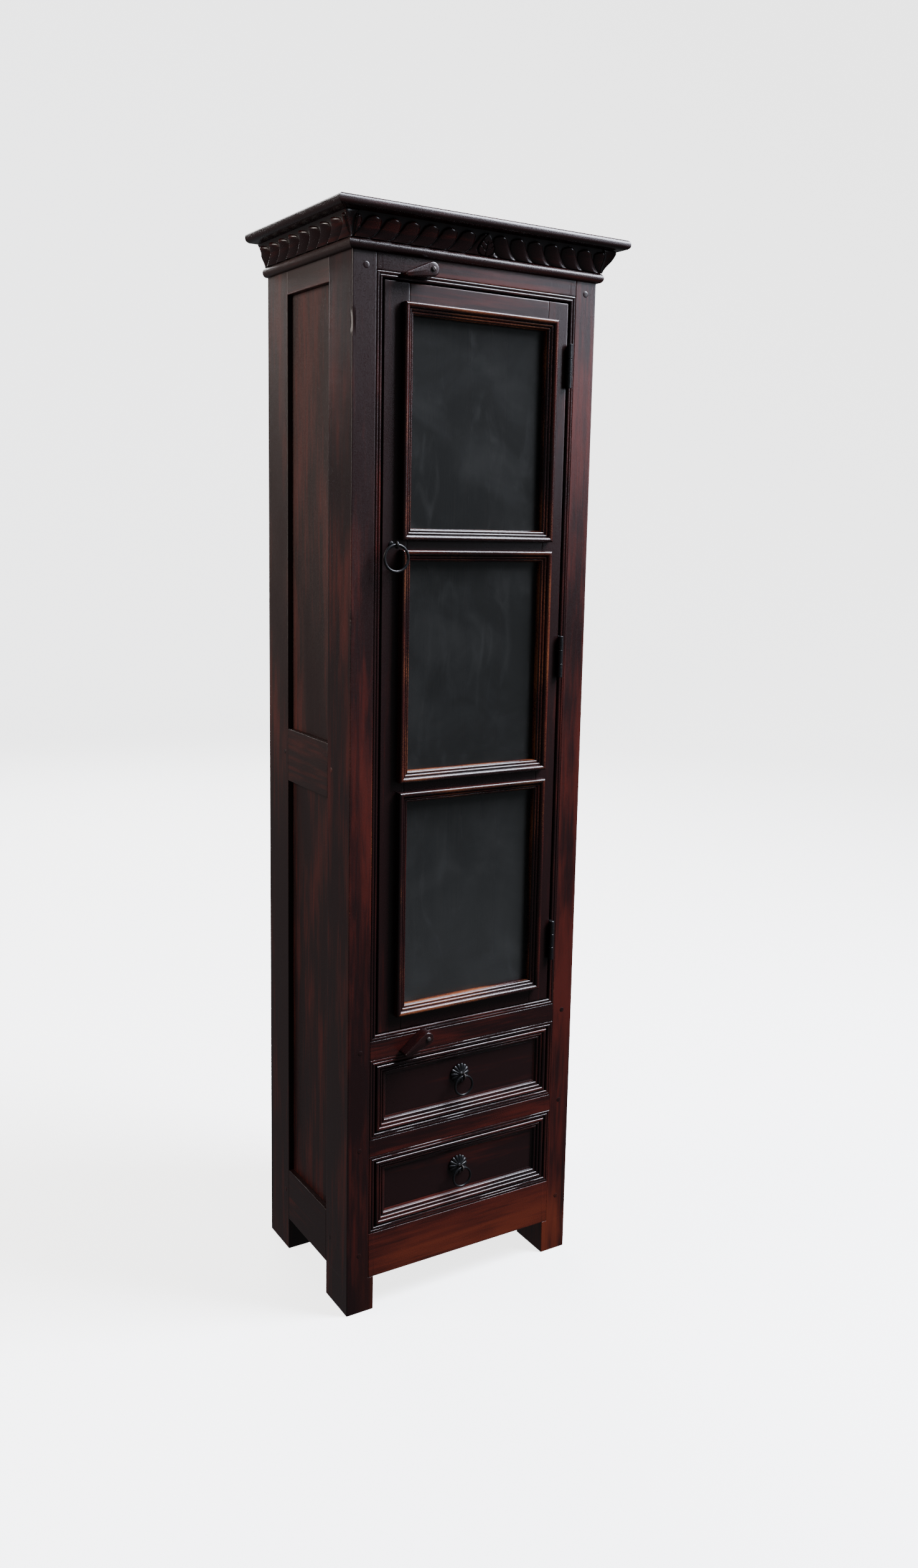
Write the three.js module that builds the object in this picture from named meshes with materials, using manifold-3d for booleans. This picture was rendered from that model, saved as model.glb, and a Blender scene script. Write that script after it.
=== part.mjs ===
// A tall, narrow glazed display case in dark lacquered hardwood.
// Four posts carry rails, recessed side panels, a carved cornice and a top board.
// A three-pane door on three butt hinges closes the upper compartment, two wooden turn buttons
// lock it, and two drawers with iron ring pulls slide in below.
// Millimetres, +Z up, front facing -Y, origin on the floor under the middle of the case.
import * as THREE from 'three';
import { mergeVertices } from 'three/addons/utils/BufferGeometryUtils.js';
import Module from 'manifold-3d';

const wasm = await Module();
wasm.setup();

// ---------- driving dimensions ----------
const HEIGHT = 1800;
const BODY_WIDTH = 446;
const BODY_DEPTH = 328;
const GAP = 0.3; // between pieces that touch

const TOP_BOARD = { thickness: 16, overhang: 40 };
const POST = { width: 50, depth: 83 };
const RAIL_THICKNESS = 24;
const LEG_CLEARANCE = 60; // floor to the underside of the aprons
const PANEL = { thickness: 8, recess: 9 };
const BACK = { thickness: 8, recess: 4 };
const SHELF = { thickness: 18, thin: 12, behindDoor: 2 };

// heights of the rails' edges on the front
const FRONT = {
  apronTop: 150,
  dividerBottom: 269,
  dividerTop: 319,
  middleBottom: 440,
  middleTop: 493,
  topRailBottom: 1697,
};
// heights of the rails' edges on the sides
const SIDE = { apronTop: 156, middleBottom: 883, middleTop: 974, topRailBottom: 1695 };

const CORNICE = { bottom: 1732, beadRadius: 8, beadSeat: 2.5, coveFoot: 8, coveLip: 27, coveLipDepth: 5 };

const DOOR = { halfWidth: 169, bottom: 495, top: 1694, thickness: 24, setBack: 1 };
// the pane mouldings stand a little to the hinge side of the door's middle
const PANES = { left: -139, right: 144, mouldingSeat: 13, glassSetBack: 8, glassThickness: 3 };
// section of the pane moulding's face, as [inwards from its outer edge, behind the posts' face]
const PANE_MOULDING = [[0, -10], [2, -12.5], [6, -12.5], [8, -10], [11, -8], [14, -5], [18, -3]];
const PANE_HEIGHTS = {
  upper: [1305, 1665],
  middle: [917, 1290],
  lower: [521, 901],
};

const HINGE = { pinX: 171, pinProud: 5, barrel: 4.5, pin: 1.9, bore: 2.4, height: 71 };
const HINGE_LEAF = { thickness: 1.5, front: 0.5, back: 24, tabLap: 1 };
const HINGE_CENTRES = { upper: 1594, middle: 1111, lower: 605 };

const DOOR_PULL = { x: -153, z: 1298, proud: 17, ringRadius: 20.75, wire: 2.25, eyeWire: 1.6 };
const DRAWER_PULL = { x: -5, proud: 7, ringRadius: 17, wire: 2, eyeWire: 1.5 };
const EYE = { clearance: 0.75, shankSwell: 1.3, rootLap: 0.2, plateRadius: 5, plateThickness: 1.5 };
// the rosette's dome, as [share of its radius, in front of its seat]
const ROSETTE = { radius: 18, petals: 12, notch: 0.92, eyeRoot: 4 };
const ROSETTE_DOME = [[1, 0], [1, 1.5], [0.6, 5], [0.3, 7.5]];

const DRAWER = { halfWidth: 170, frontThickness: 22, panelDepth: 9 };
const DRAWER_BOX = { halfWidth: 168, back: 150, height: 98, side: 12, bottom: 8 };
// section of the drawer moulding's face, as [inwards from its outer edge, behind the posts' face]
const DRAWER_MOULDING = [[0, 1], [1.5, -1], [6, -1], [8, 1], [12, 2], [14, 4.5], [18, 5.5], [20, 8]];
const DRAWER_MOULDING_WIDTH = 22;
const DRAWERS = {
  upper: { bottom: 321, top: 438, pullZ: 388 },
  lower: { bottom: 152, top: 267, pullZ: 218 },
};

const BUTTON = { head: 11, tip: 3.5, reach: 44.5, thickness: 24, standOff: 0.5 };
// the screw's head, as [radius, in front of the button]
const SCREW_HEAD = [[0, 2.5], [2.4, 2.2], [4, 1], [4, 0]];
const SCREW_SHANK = 2;
// angle of each turn button's tip away from hanging straight down, towards the left
const BUTTONS = {
  upper: { x: -99, z: 1714, turned: 75 },
  lower: { x: -86, z: 478, turned: 62 },
};

// flat sides standing in for a full turn
const SIDES = { ringWire: 8, ring: 28, eye: 16, shank: 10, screw: 14, hinge: 16, plate: 16 };

// ---------- derived planes ----------
const halfBody = BODY_WIDTH / 2;
const boardDepth = BODY_DEPTH + TOP_BOARD.overhang;
const backY = boardDepth / 2;
const frontY = backY - BODY_DEPTH;
const postInnerX = halfBody - POST.width;
const railEndX = postInnerX - GAP;
const railBackY = frontY + RAIL_THICKNESS;
const carcassTop = HEIGHT - TOP_BOARD.thickness - GAP;
const backPanelFront = backY - BACK.recess - BACK.thickness;
const sidePanelInnerX = halfBody - PANEL.recess - PANEL.thickness;

// ---------- materials ----------
const finish = (settings) => () => new THREE.MeshStandardMaterial(settings);
const lacqueredWood = finish({ color: 0x2b1512, roughness: 0.32, metalness: 0 });
const drawerWood = finish({ color: 0x8a5f3c, roughness: 0.7, metalness: 0 });
const blackIron = finish({ color: 0x14110f, roughness: 0.45, metalness: 0.9 });
const steel = finish({ color: 0x6a6660, roughness: 0.5, metalness: 1 });
const darkGlass = finish({ color: 0x39403f, roughness: 0.1, transparent: true, opacity: 0.5 });

// ---------- helpers ----------
const cabinet = new THREE.Group();

function add(name, geometry, material, x = 0, y = 0, z = 0) {
  const mesh = new THREE.Mesh(geometry, material);
  mesh.name = name;
  mesh.position.set(x, y, z);
  cabinet.add(mesh);
  return mesh;
}

// a square-edged board between two corners, with each range given as [low, high]
function addBoard(name, [x0, x1], [y0, y1], [z0, z1], material = lacqueredWood()) {
  const geometry = new THREE.BoxGeometry(x1 - x0, y1 - y0, z1 - z0);
  return add(name, geometry, material, (x0 + x1) / 2, (y0 + y1) / 2, (z0 + z1) / 2);
}

function signedVolume(points, faces) {
  let total = 0;
  for (const [a, b, c] of faces) {
    total += points[a].dot(new THREE.Vector3().crossVectors(points[b], points[c]));
  }
  return total / 6;
}

// a solid skinned over loops of points: open ends are capped, a closed run of loops joins up with itself
function loft(loops, { closed = false, capOutline = null } = {}) {
  const count = loops[0].length;
  const points = loops.flat();
  const faces = [];
  const spans = closed ? loops.length : loops.length - 1;
  for (let i = 0; i < spans; i += 1) {
    const near = i * count;
    const far = ((i + 1) % loops.length) * count;
    for (let k = 0; k < count; k += 1) {
      const next = (k + 1) % count;
      faces.push([near + k, near + next, far + next], [near + k, far + next, far + k]);
    }
  }
  if (!closed) {
    const outline = capOutline ?? [[0, 0], [1, 0], [1, 1], [0, 1]];
    const cap = THREE.ShapeUtils.triangulateShape(outline.map(([u, v]) => new THREE.Vector2(u, v)), []);
    const last = (loops.length - 1) * count;
    for (const [a, b, c] of cap) {
      faces.push([a, c, b], [last + a, last + b, last + c]);
    }
  }
  const outward = signedVolume(points, faces) > 0;
  const geometry = new THREE.BufferGeometry();
  geometry.setAttribute('position', new THREE.Float32BufferAttribute(points.flatMap((p) => p.toArray()), 3));
  geometry.setIndex(faces.flatMap(([a, b, c]) => (outward ? [a, b, c] : [a, c, b])));
  geometry.computeVertexNormals();
  return geometry;
}

const levelLoop = (x0, x1, y0, y1, z) => [
  new THREE.Vector3(x0, y0, z),
  new THREE.Vector3(x1, y0, z),
  new THREE.Vector3(x1, y1, z),
  new THREE.Vector3(x0, y1, z),
];

const uprightLoop = (x0, x1, z0, z1, y) => [
  new THREE.Vector3(x0, y, z0),
  new THREE.Vector3(x1, y, z0),
  new THREE.Vector3(x1, y, z1),
  new THREE.Vector3(x0, y, z1),
];

// loops of an upright rectangle stepping inwards along a profile of [inset, y] pairs
function insetLoops([x0, x1], [z0, z1], profile) {
  return profile.map(([inset, y]) => uprightLoop(x0 + inset, x1 - inset, z0 + inset, z1 - inset, y));
}

function toManifold(geometry) {
  const bare = geometry.clone();
  bare.deleteAttribute('normal');
  bare.deleteAttribute('uv');
  const merged = mergeVertices(bare, 1e-4);
  const vertProperties = new Float32Array(merged.attributes.position.array);
  const triVerts = new Uint32Array(merged.index.array);
  return new wasm.Manifold(new wasm.Mesh({ numProp: 3, vertProperties, triVerts }));
}

function fromManifold(solid) {
  const { vertProperties, triVerts } = solid.getMesh();
  const geometry = new THREE.BufferGeometry();
  geometry.setAttribute('position', new THREE.Float32BufferAttribute(vertProperties, 3));
  geometry.setIndex(Array.from(triVerts));
  geometry.computeVertexNormals();
  return geometry;
}

function join(...geometries) {
  return fromManifold(geometries.map(toManifold).reduce((whole, piece) => whole.add(piece)));
}

// ---------- carcass ----------
function addPosts() {
  const depths = { front: [frontY, frontY + POST.depth], back: [backY - POST.depth, backY] };
  for (const [face, depth] of Object.entries(depths)) {
    addBoard(`${face}_left_post`, [-halfBody, -postInnerX], depth, [0, carcassTop]);
    addBoard(`${face}_right_post`, [postInnerX, halfBody], depth, [0, carcassTop]);
  }
}

function addFrontRails() {
  const rails = {
    front_top_rail: [FRONT.topRailBottom, carcassTop],
    front_middle_rail: [FRONT.middleBottom, FRONT.middleTop],
    drawer_divider_rail: [FRONT.dividerBottom, FRONT.dividerTop],
    front_apron: [LEG_CLEARANCE, FRONT.apronTop],
  };
  for (const [name, heights] of Object.entries(rails)) {
    addBoard(name, [-railEndX, railEndX], [frontY, railBackY], heights);
  }
}

function addSides() {
  const span = [frontY + POST.depth + GAP, backY - POST.depth - GAP];
  const rails = {
    top_rail: [SIDE.topRailBottom, carcassTop],
    middle_rail: [SIDE.middleBottom, SIDE.middleTop],
    apron: [LEG_CLEARANCE, SIDE.apronTop],
  };
  const panels = {
    upper_panel: [SIDE.middleTop + GAP, SIDE.topRailBottom - GAP],
    lower_panel: [SIDE.apronTop + GAP, SIDE.middleBottom - GAP],
  };
  const spread = { left: (inner, outer) => [-outer, -inner], right: (inner, outer) => [inner, outer] };
  for (const [side, across] of Object.entries(spread)) {
    for (const [name, heights] of Object.entries(rails)) {
      addBoard(`${side}_${name}`, across(halfBody - RAIL_THICKNESS, halfBody), span, heights);
    }
    for (const [name, heights] of Object.entries(panels)) {
      addBoard(`${side}_${name}`, across(sidePanelInnerX, halfBody - PANEL.recess), span, heights);
    }
  }
}

function addBack() {
  const depth = [backPanelFront, backPanelFront + BACK.thickness];
  addBoard('back_panel', [-railEndX, railEndX], depth, [LEG_CLEARANCE, carcassTop]);
}

// a shelf cut round the four posts, reaching the side rails between them
function addShelfBoard(name, top, shelfFrontY, thickness = SHELF.thickness) {
  const wide = halfBody - RAIL_THICKNESS - GAP;
  const back = backPanelFront - GAP;
  const notchFront = frontY + POST.depth + GAP;
  const notchBack = backY - POST.depth - GAP;
  const quarter = [
    [railEndX, shelfFrontY],
    [railEndX, notchFront],
    [wide, notchFront],
    [wide, notchBack],
    [railEndX, notchBack],
    [railEndX, back],
  ];
  const mirrored = quarter.map(([x, y]) => [-x, y]).reverse();
  const outline = new THREE.Shape([...quarter, ...mirrored].map(([x, y]) => new THREE.Vector2(x, y)));
  const geometry = new THREE.ExtrudeGeometry(outline, { depth: thickness, bevelEnabled: false });
  add(name, geometry, lacqueredWood(), 0, 0, top - thickness);
}

function addShelves() {
  const behindDoor = frontY + DOOR.setBack + DOOR.thickness + SHELF.behindDoor;
  const behindRail = railBackY + GAP;
  const midRail = (low, high) => (PANE_HEIGHTS[low][1] + PANE_HEIGHTS[high][0] + SHELF.thickness) / 2;
  addShelfBoard('upper_shelf', midRail('middle', 'upper'), behindDoor);
  addShelfBoard('lower_shelf', midRail('lower', 'middle'), behindDoor);
  addShelfBoard('cabinet_floor', FRONT.middleTop, behindRail);
  addShelfBoard('drawer_dust_board', FRONT.dividerTop, behindRail, SHELF.thin);
  addShelfBoard('base_board', FRONT.apronTop, behindRail, SHELF.thin);
}

// ---------- cornice ----------
// outline of the bead and the cove above it, as [outwards from the carcass, height]
function corniceProfile() {
  const { bottom, beadRadius, beadSeat, coveFoot, coveLip, coveLipDepth } = CORNICE;
  const beadSteps = 6;
  const coveSteps = 5;
  const profile = [[GAP, bottom]];
  for (let i = 0; i <= beadSteps; i += 1) {
    const angle = (i / beadSteps - 0.5) * Math.PI;
    profile.push([beadSeat + beadRadius * Math.cos(angle), bottom + beadRadius * (1 + Math.sin(angle))]);
  }
  const coveBottom = bottom + 2 * beadRadius;
  const coveTop = carcassTop - coveLipDepth;
  for (let i = 0; i <= coveSteps; i += 1) {
    const turn = (i / coveSteps) * Math.PI * 0.5;
    const out = coveFoot + (coveLip - coveFoot) * (1 - Math.cos(turn));
    profile.push([out, coveBottom + (coveTop - coveBottom) * Math.sin(turn)]);
  }
  profile.push([coveLip, carcassTop], [GAP, carcassTop]);
  return profile;
}

function addCornice() {
  const profile = corniceProfile();
  const options = { capOutline: profile };
  const frontEnd = (side) => profile.map(([o, z]) => new THREE.Vector3(side * (halfBody + o), frontY - o, z));
  const sideFront = (side) => profile.map(
    ([o, z]) => new THREE.Vector3(side * (halfBody + o), frontY - o + 2 * GAP, z),
  );
  const sideBack = (side) => profile.map(([o, z]) => new THREE.Vector3(side * (halfBody + o), backY, z));
  add('cornice_front_moulding', loft([frontEnd(-1), frontEnd(1)], options), lacqueredWood());
  add('cornice_left_moulding', loft([sideFront(-1), sideBack(-1)], options), lacqueredWood());
  add('cornice_right_moulding', loft([sideFront(1), sideBack(1)], options), lacqueredWood());
}

// the top board's front and side edges are rounded over, and its back edge is square
function addTopBoard() {
  const steps = 8;
  const radius = TOP_BOARD.thickness / 2;
  const loops = [];
  for (let i = 0; i <= steps; i += 1) {
    const angle = (i / steps - 0.5) * Math.PI;
    const inset = 0.75 * radius * (1 - Math.cos(angle));
    const z = HEIGHT - radius + radius * Math.sin(angle);
    const reach = halfBody + TOP_BOARD.overhang - inset;
    loops.push(levelLoop(-reach, reach, -backY + inset, backY, z));
  }
  add('cornice_top_board', loft(loops), lacqueredWood());
}

// ---------- door ----------
const doorFaceY = frontY + DOOR.setBack;
const sashLeft = PANES.left + PANES.mouldingSeat;
const sashRight = PANES.right - PANES.mouldingSeat;

function addDoorFrame() {
  const depth = [doorFaceY, doorFaceY + DOOR.thickness];
  const seat = PANES.mouldingSeat;
  const between = [sashLeft + GAP, sashRight - GAP];
  const rails = {
    door_bottom_rail: [DOOR.bottom, PANE_HEIGHTS.lower[0] + seat],
    door_lower_mid_rail: [PANE_HEIGHTS.lower[1] - seat, PANE_HEIGHTS.middle[0] + seat],
    door_upper_mid_rail: [PANE_HEIGHTS.middle[1] - seat, PANE_HEIGHTS.upper[0] + seat],
    door_top_rail: [PANE_HEIGHTS.upper[1] - seat, DOOR.top],
  };
  addBoard('door_latch_stile', [-DOOR.halfWidth, sashLeft], depth, [DOOR.bottom, DOOR.top]);
  addBoard('door_hinge_stile', [sashRight, DOOR.halfWidth], depth, [DOOR.bottom, DOOR.top]);
  for (const [name, heights] of Object.entries(rails)) {
    addBoard(name, between, depth, heights);
  }
}

// stepped moulding planted over the sash edge, its lip reaching back to the glass
function addPane(name, [z0, z1]) {
  const { mouldingSeat, glassSetBack, glassThickness } = PANES;
  const edge = mouldingSeat + 2 * GAP;
  const glassY = frontY + glassSetBack;
  const behind = glassY - GAP;
  const onDoor = doorFaceY - GAP;
  const width = PANE_MOULDING.at(-1)[0];
  const face = PANE_MOULDING.map(([inset, y]) => [inset, frontY + y]);
  const profile = [[0, onDoor], ...face, [width, behind], [edge, behind], [edge, onDoor]];
  const geometry = loft(insetLoops([PANES.left, PANES.right], [z0, z1], profile), { closed: true });
  add(`${name}_pane_moulding`, geometry, lacqueredWood());
  addBoard(
    `${name}_glass`,
    [PANES.left + edge, PANES.right - edge],
    [glassY, glassY + glassThickness],
    [z0 + edge, z1 - edge],
    darkGlass(),
  );
}

// ---------- hinges ----------
function pinCylinder(radius, z0, z1) {
  const geometry = new THREE.CylinderGeometry(radius, radius, z1 - z0, SIDES.hinge);
  geometry.rotateX(Math.PI / 2);
  geometry.translate(HINGE.pinX, frontY - HINGE.pinProud, (z0 + z1) / 2);
  return geometry;
}

function leafPlate([x0, x1], [y0, y1], [z0, z1]) {
  const geometry = new THREE.BoxGeometry(x1 - x0, y1 - y0, z1 - z0);
  geometry.translate((x0 + x1) / 2, (y0 + y1) / 2, (z0 + z1) / 2);
  return geometry;
}

// butt hinge: the frame leaf carries the pin and the outer knuckles, the door leaf turns on the pin
function addHinge(name, centre) {
  const { barrel, pin, bore, height } = HINGE;
  const { thickness, front, back, tabLap } = HINGE_LEAF;
  const low = centre - height / 2;
  const high = centre + height / 2;
  const lowJoint = low + height / 3;
  const highJoint = high - height / 3;
  const plateY = [frontY + front, frontY + back];
  const tabY = [frontY - HINGE.pinProud, frontY + front + tabLap];
  const frameX = [postInnerX - GAP - thickness, postInnerX - GAP];
  const doorX = [DOOR.halfWidth + GAP, DOOR.halfWidth + GAP + thickness];
  const frameLeaf = join(
    pinCylinder(pin, low, high),
    pinCylinder(barrel, low, lowJoint),
    pinCylinder(barrel, highJoint, high),
    leafPlate(frameX, plateY, [low, high]),
    leafPlate(frameX, tabY, [low, lowJoint]),
    leafPlate(frameX, tabY, [highJoint, high]),
  );
  add(`${name}_hinge_frame_leaf`, frameLeaf, blackIron());
  const knuckle = [lowJoint + GAP, highJoint - GAP];
  const solid = toManifold(pinCylinder(barrel, ...knuckle))
    .add(toManifold(leafPlate(doorX, tabY, knuckle)))
    .subtract(toManifold(pinCylinder(bore, low, high)))
    .add(toManifold(leafPlate(doorX, plateY, [low, high])));
  add(`${name}_hinge_door_leaf`, fromManifold(solid), blackIron());
}

// ---------- pulls ----------
// an eye whose loop stands across the front, so the ring's wire runs through it from side to side
function eyeGeometry(wire, ringWire, proud, rootY) {
  const loopRadius = ringWire + EYE.clearance + wire;
  const loop = new THREE.TorusGeometry(loopRadius, wire, SIDES.ringWire, SIDES.eye);
  loop.rotateY(Math.PI / 2);
  loop.translate(0, -proud, 0);
  const shankFront = -proud + loopRadius;
  const shankRadius = wire * EYE.shankSwell;
  const shank = new THREE.CylinderGeometry(shankRadius, shankRadius, rootY - shankFront, SIDES.shank);
  shank.translate(0, (rootY + shankFront) / 2, 0);
  return [loop, shank];
}

function addRing(name, pull, z) {
  const geometry = new THREE.TorusGeometry(pull.ringRadius, pull.wire, SIDES.ringWire, SIDES.ring);
  geometry.rotateX(Math.PI / 2);
  geometry.translate(0, 0, -pull.ringRadius);
  add(name, geometry, blackIron(), pull.x, frontY - pull.proud, z);
}

function addDoorPull() {
  const rootY = DOOR.setBack - GAP;
  const plate = new THREE.CylinderGeometry(EYE.plateRadius, EYE.plateRadius, EYE.plateThickness, SIDES.plate);
  plate.translate(0, rootY - EYE.plateThickness / 2, 0);
  const [loop, shank] = eyeGeometry(DOOR_PULL.eyeWire, DOOR_PULL.wire, DOOR_PULL.proud, rootY - EYE.rootLap);
  add('door_pull_eye', join(plate, loop, shank), blackIron(), DOOR_PULL.x, frontY, DOOR_PULL.z);
  addRing('door_ring', DOOR_PULL, DOOR_PULL.z);
}

// domed rosette with a scalloped edge, lying on the drawer's recessed panel
function rosetteGeometry(baseY) {
  const count = ROSETTE.petals * 2;
  const loops = ROSETTE_DOME.map(([share, rise]) => {
    const points = [];
    for (let k = 0; k < count; k += 1) {
      const angle = (k / count) * Math.PI * 2;
      const radius = ROSETTE.radius * share * (k % 2 === 0 ? 1 : ROSETTE.notch);
      points.push(new THREE.Vector3(radius * Math.cos(angle), baseY - rise, radius * Math.sin(angle)));
    }
    return points;
  });
  const outline = loops[0].map((p) => [p.x, p.z]);
  return loft(loops, { capOutline: outline });
}

function addDrawerPull(name, z) {
  const { eyeWire, wire, proud } = DRAWER_PULL;
  const baseY = DRAWER.panelDepth - GAP;
  const [loop, shank] = eyeGeometry(eyeWire, wire, proud, baseY - ROSETTE.eyeRoot);
  const rosette = join(rosetteGeometry(baseY), loop, shank);
  add(`${name}_pull_rosette`, rosette, blackIron(), DRAWER_PULL.x, frontY, z);
  addRing(`${name}_pull_ring`, DRAWER_PULL, z);
}

// ---------- drawers ----------
function addDrawer(name, { bottom, top, pullZ }) {
  const frontBack = frontY + DRAWER.frontThickness;
  const moulding = DRAWER_MOULDING.map(([inset, y]) => [inset, frontY + y]);
  const profile = [[0, frontBack], ...moulding, [DRAWER_MOULDING_WIDTH, frontY + DRAWER.panelDepth]];
  const face = loft(insetLoops([-DRAWER.halfWidth, DRAWER.halfWidth], [bottom, top], profile));
  add(`${name}_drawer_front`, face, lacqueredWood());

  const { halfWidth, back, height, side } = DRAWER_BOX;
  const front = frontBack + GAP;
  const rim = bottom + height;
  const outer = (z) => levelLoop(-halfWidth, halfWidth, front, back, z);
  const inner = (z) => levelLoop(side - halfWidth, halfWidth - side, front + side, back - side, z);
  const box = loft([outer(bottom), outer(rim), inner(rim), inner(bottom + DRAWER_BOX.bottom)]);
  add(`${name}_drawer_box`, box, drawerWood());
  addDrawerPull(`${name}_drawer`, pullZ);
}

// ---------- turn buttons ----------
// a thick wooden teardrop turning on a screw through its round head
function addTurnButton(name, { x, z, turned }) {
  const { head, tip, reach, thickness, standOff } = BUTTON;
  const slope = Math.asin((head - tip) / reach);
  const outline = new THREE.Shape();
  outline.absarc(0, 0, head, -slope, Math.PI + slope, false);
  outline.absarc(0, -reach, tip, Math.PI + slope, 2 * Math.PI - slope, false);
  const hole = new THREE.Path();
  hole.absarc(0, 0, SCREW_SHANK + 2 * GAP, 0, 2 * Math.PI, true);
  outline.holes.push(hole);
  const options = { depth: thickness, bevelEnabled: false, curveSegments: 10 };
  const geometry = new THREE.ExtrudeGeometry(outline, options);
  geometry.rotateX(Math.PI / 2);
  const button = add(`${name}_turn_button`, geometry, lacqueredWood(), x, frontY - standOff, z);
  button.rotation.y = THREE.MathUtils.degToRad(turned);

  const faceY = standOff + thickness + GAP;
  const screwHead = SCREW_HEAD.map(([radius, rise]) => [radius, -faceY - rise]);
  const profile = [...screwHead, [SCREW_SHANK, -faceY], [SCREW_SHANK, -GAP], [0, -GAP]];
  const screwOutline = profile.map(([radius, y]) => new THREE.Vector2(radius, y));
  const screwGeometry = new THREE.LatheGeometry(screwOutline, SIDES.screw);
  add(`${name}_turn_button_screw`, screwGeometry, steel(), x, frontY, z);
}

// ---------- assembly ----------
addPosts();
addFrontRails();
addSides();
addBack();
addShelves();
addCornice();
addTopBoard();
addDoorFrame();
for (const [name, heights] of Object.entries(PANE_HEIGHTS)) {
  addPane(name, heights);
}
for (const [name, centre] of Object.entries(HINGE_CENTRES)) {
  addHinge(name, centre);
}
addDoorPull();
for (const [name, drawer] of Object.entries(DRAWERS)) {
  addDrawer(name, drawer);
}
for (const [name, button] of Object.entries(BUTTONS)) {
  addTurnButton(name, button);
}

export default cabinet;
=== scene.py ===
"""A tall, narrow display case in dark lacquered hardwood: carved cornice, glazed door and two drawers."""

import math
import zlib

import bmesh
import bpy
import numpy as np
from mathutils import Matrix, Vector


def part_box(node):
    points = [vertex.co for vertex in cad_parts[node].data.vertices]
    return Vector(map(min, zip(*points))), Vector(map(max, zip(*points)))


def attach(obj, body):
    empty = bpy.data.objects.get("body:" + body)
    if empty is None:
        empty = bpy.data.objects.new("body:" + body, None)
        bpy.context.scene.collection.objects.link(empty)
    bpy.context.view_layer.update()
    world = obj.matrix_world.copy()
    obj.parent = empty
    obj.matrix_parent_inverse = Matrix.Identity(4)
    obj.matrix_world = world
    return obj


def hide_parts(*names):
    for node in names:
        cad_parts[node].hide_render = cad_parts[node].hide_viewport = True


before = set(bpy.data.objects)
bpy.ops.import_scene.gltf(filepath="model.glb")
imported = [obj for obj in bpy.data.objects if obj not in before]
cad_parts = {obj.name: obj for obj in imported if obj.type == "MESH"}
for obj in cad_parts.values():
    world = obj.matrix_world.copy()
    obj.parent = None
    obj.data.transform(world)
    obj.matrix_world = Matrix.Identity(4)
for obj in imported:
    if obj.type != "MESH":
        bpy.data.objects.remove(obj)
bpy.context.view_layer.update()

bl_info = {
    "name": "Display case maker",
    "version": (1, 0, 0),
    "blender": (4, 5, 0),
    "location": "View3D > Sidebar > Display case",
    "description": "Makes a tall lacquered display case with a glazed door and two drawers",
    "category": "Add Mesh",
}

MM = 0.001
CASE = "carcass"
X, Y, Z = 0, 1, 2


def edges_of(node):
    """The node's (low x, high x), (low y, high y) and (low z, high z)."""
    low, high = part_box(node)
    return [(low[axis], high[axis]) for axis in range(3)]


POST_LEFT = edges_of("front_left_post")
POST_RIGHT = edges_of("front_right_post")
FACE_Y = POST_LEFT[Y][0]
HALF_WIDTH = POST_RIGHT[X][1]
BACK_Y = edges_of("back_left_post")[Y][1]
TOP_BOARD = edges_of("cornice_top_board")
DOOR_FACE_Y = edges_of("door_latch_stile")[Y][0]


# ---------------------------------------------------------------- sizes and colours


def size_property(name, description, default):
    """A length, given in millimetres."""
    return bpy.props.FloatProperty(name=name, description=description, default=default * MM, unit="LENGTH")


class CaseSizes(bpy.types.PropertyGroup):
    """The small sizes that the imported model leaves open."""

    ease: size_property("Eased edge", "Radius of the rubbed edge of a board", 0.9)
    bead_width: size_property("Bead width", "Width of the double bead round an opening", 10)
    bead_depth: size_property("Bead depth", "How deep the double bead is let in", 6)
    lobe_relief: size_property("Lobe relief", "How far a carved lobe stands out", 9)
    front_pitch: size_property("Front lobe pitch", "From lobe to lobe along the front", 32.5)
    side_pitch: size_property("Side lobe pitch", "From lobe to lobe along a side", 39.6)
    lobe_sweep: size_property("Lobe sweep", "How far a lobe's foot lies from its tip", 29)
    peg: size_property("Peg diameter", "Diameter of the pegs in the joints", 10.5)
    wobble: size_property("Hand wobble", "How far a moulding wanders from straight", 0.16)


def colour_property(name, description, default):
    """A colour that a user can change."""
    return bpy.props.FloatVectorProperty(
        name=name, description=description, default=default, subtype="COLOR", size=3, min=0, max=1
    )


class CaseColours(bpy.types.PropertyGroup):
    """The colours of the finishes."""

    dark: colour_property("Dark lacquer", "Where the lacquer lies thick", (0.0105, 0.0032, 0.0033))
    red: colour_property("Red lacquer", "Where the wood shows through", (0.058, 0.0085, 0.0058))
    warm: colour_property("Warm wood", "Bare-rubbed wood low on the case", (0.122, 0.022, 0.009))
    worn: colour_property("Worn edge", "Wood on rubbed edges", (0.19, 0.058, 0.018))
    # colour of the dull dust film on the sides, also used as a painted sheen higher up
    dust_and_sheen: colour_property("Dust", "Dull film on the sides", (0.062, 0.042, 0.036))
    bare: colour_property("Plain wood", "Drawer sides and backs", (0.15, 0.068, 0.033))
    bare_dark: colour_property("Plain wood grain", "Dark grain of the plain wood", (0.062, 0.024, 0.011))
    iron: colour_property("Black iron", "Hinges, rings and rosettes", (0.006, 0.006, 0.0068))
    steel: colour_property("Steel", "Screws", (0.05, 0.042, 0.04))
    # colour of the old film on the panes, also carrying the painted floor reflection on the lower panes
    film_and_reflection: colour_property("Glass film", "Old film on the panes", (0.13, 0.13, 0.126))
    floor: colour_property("Floor", "The studio floor", (0.95, 0.95, 0.955))


# ---------------------------------------------------------------- shader expressions


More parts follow.
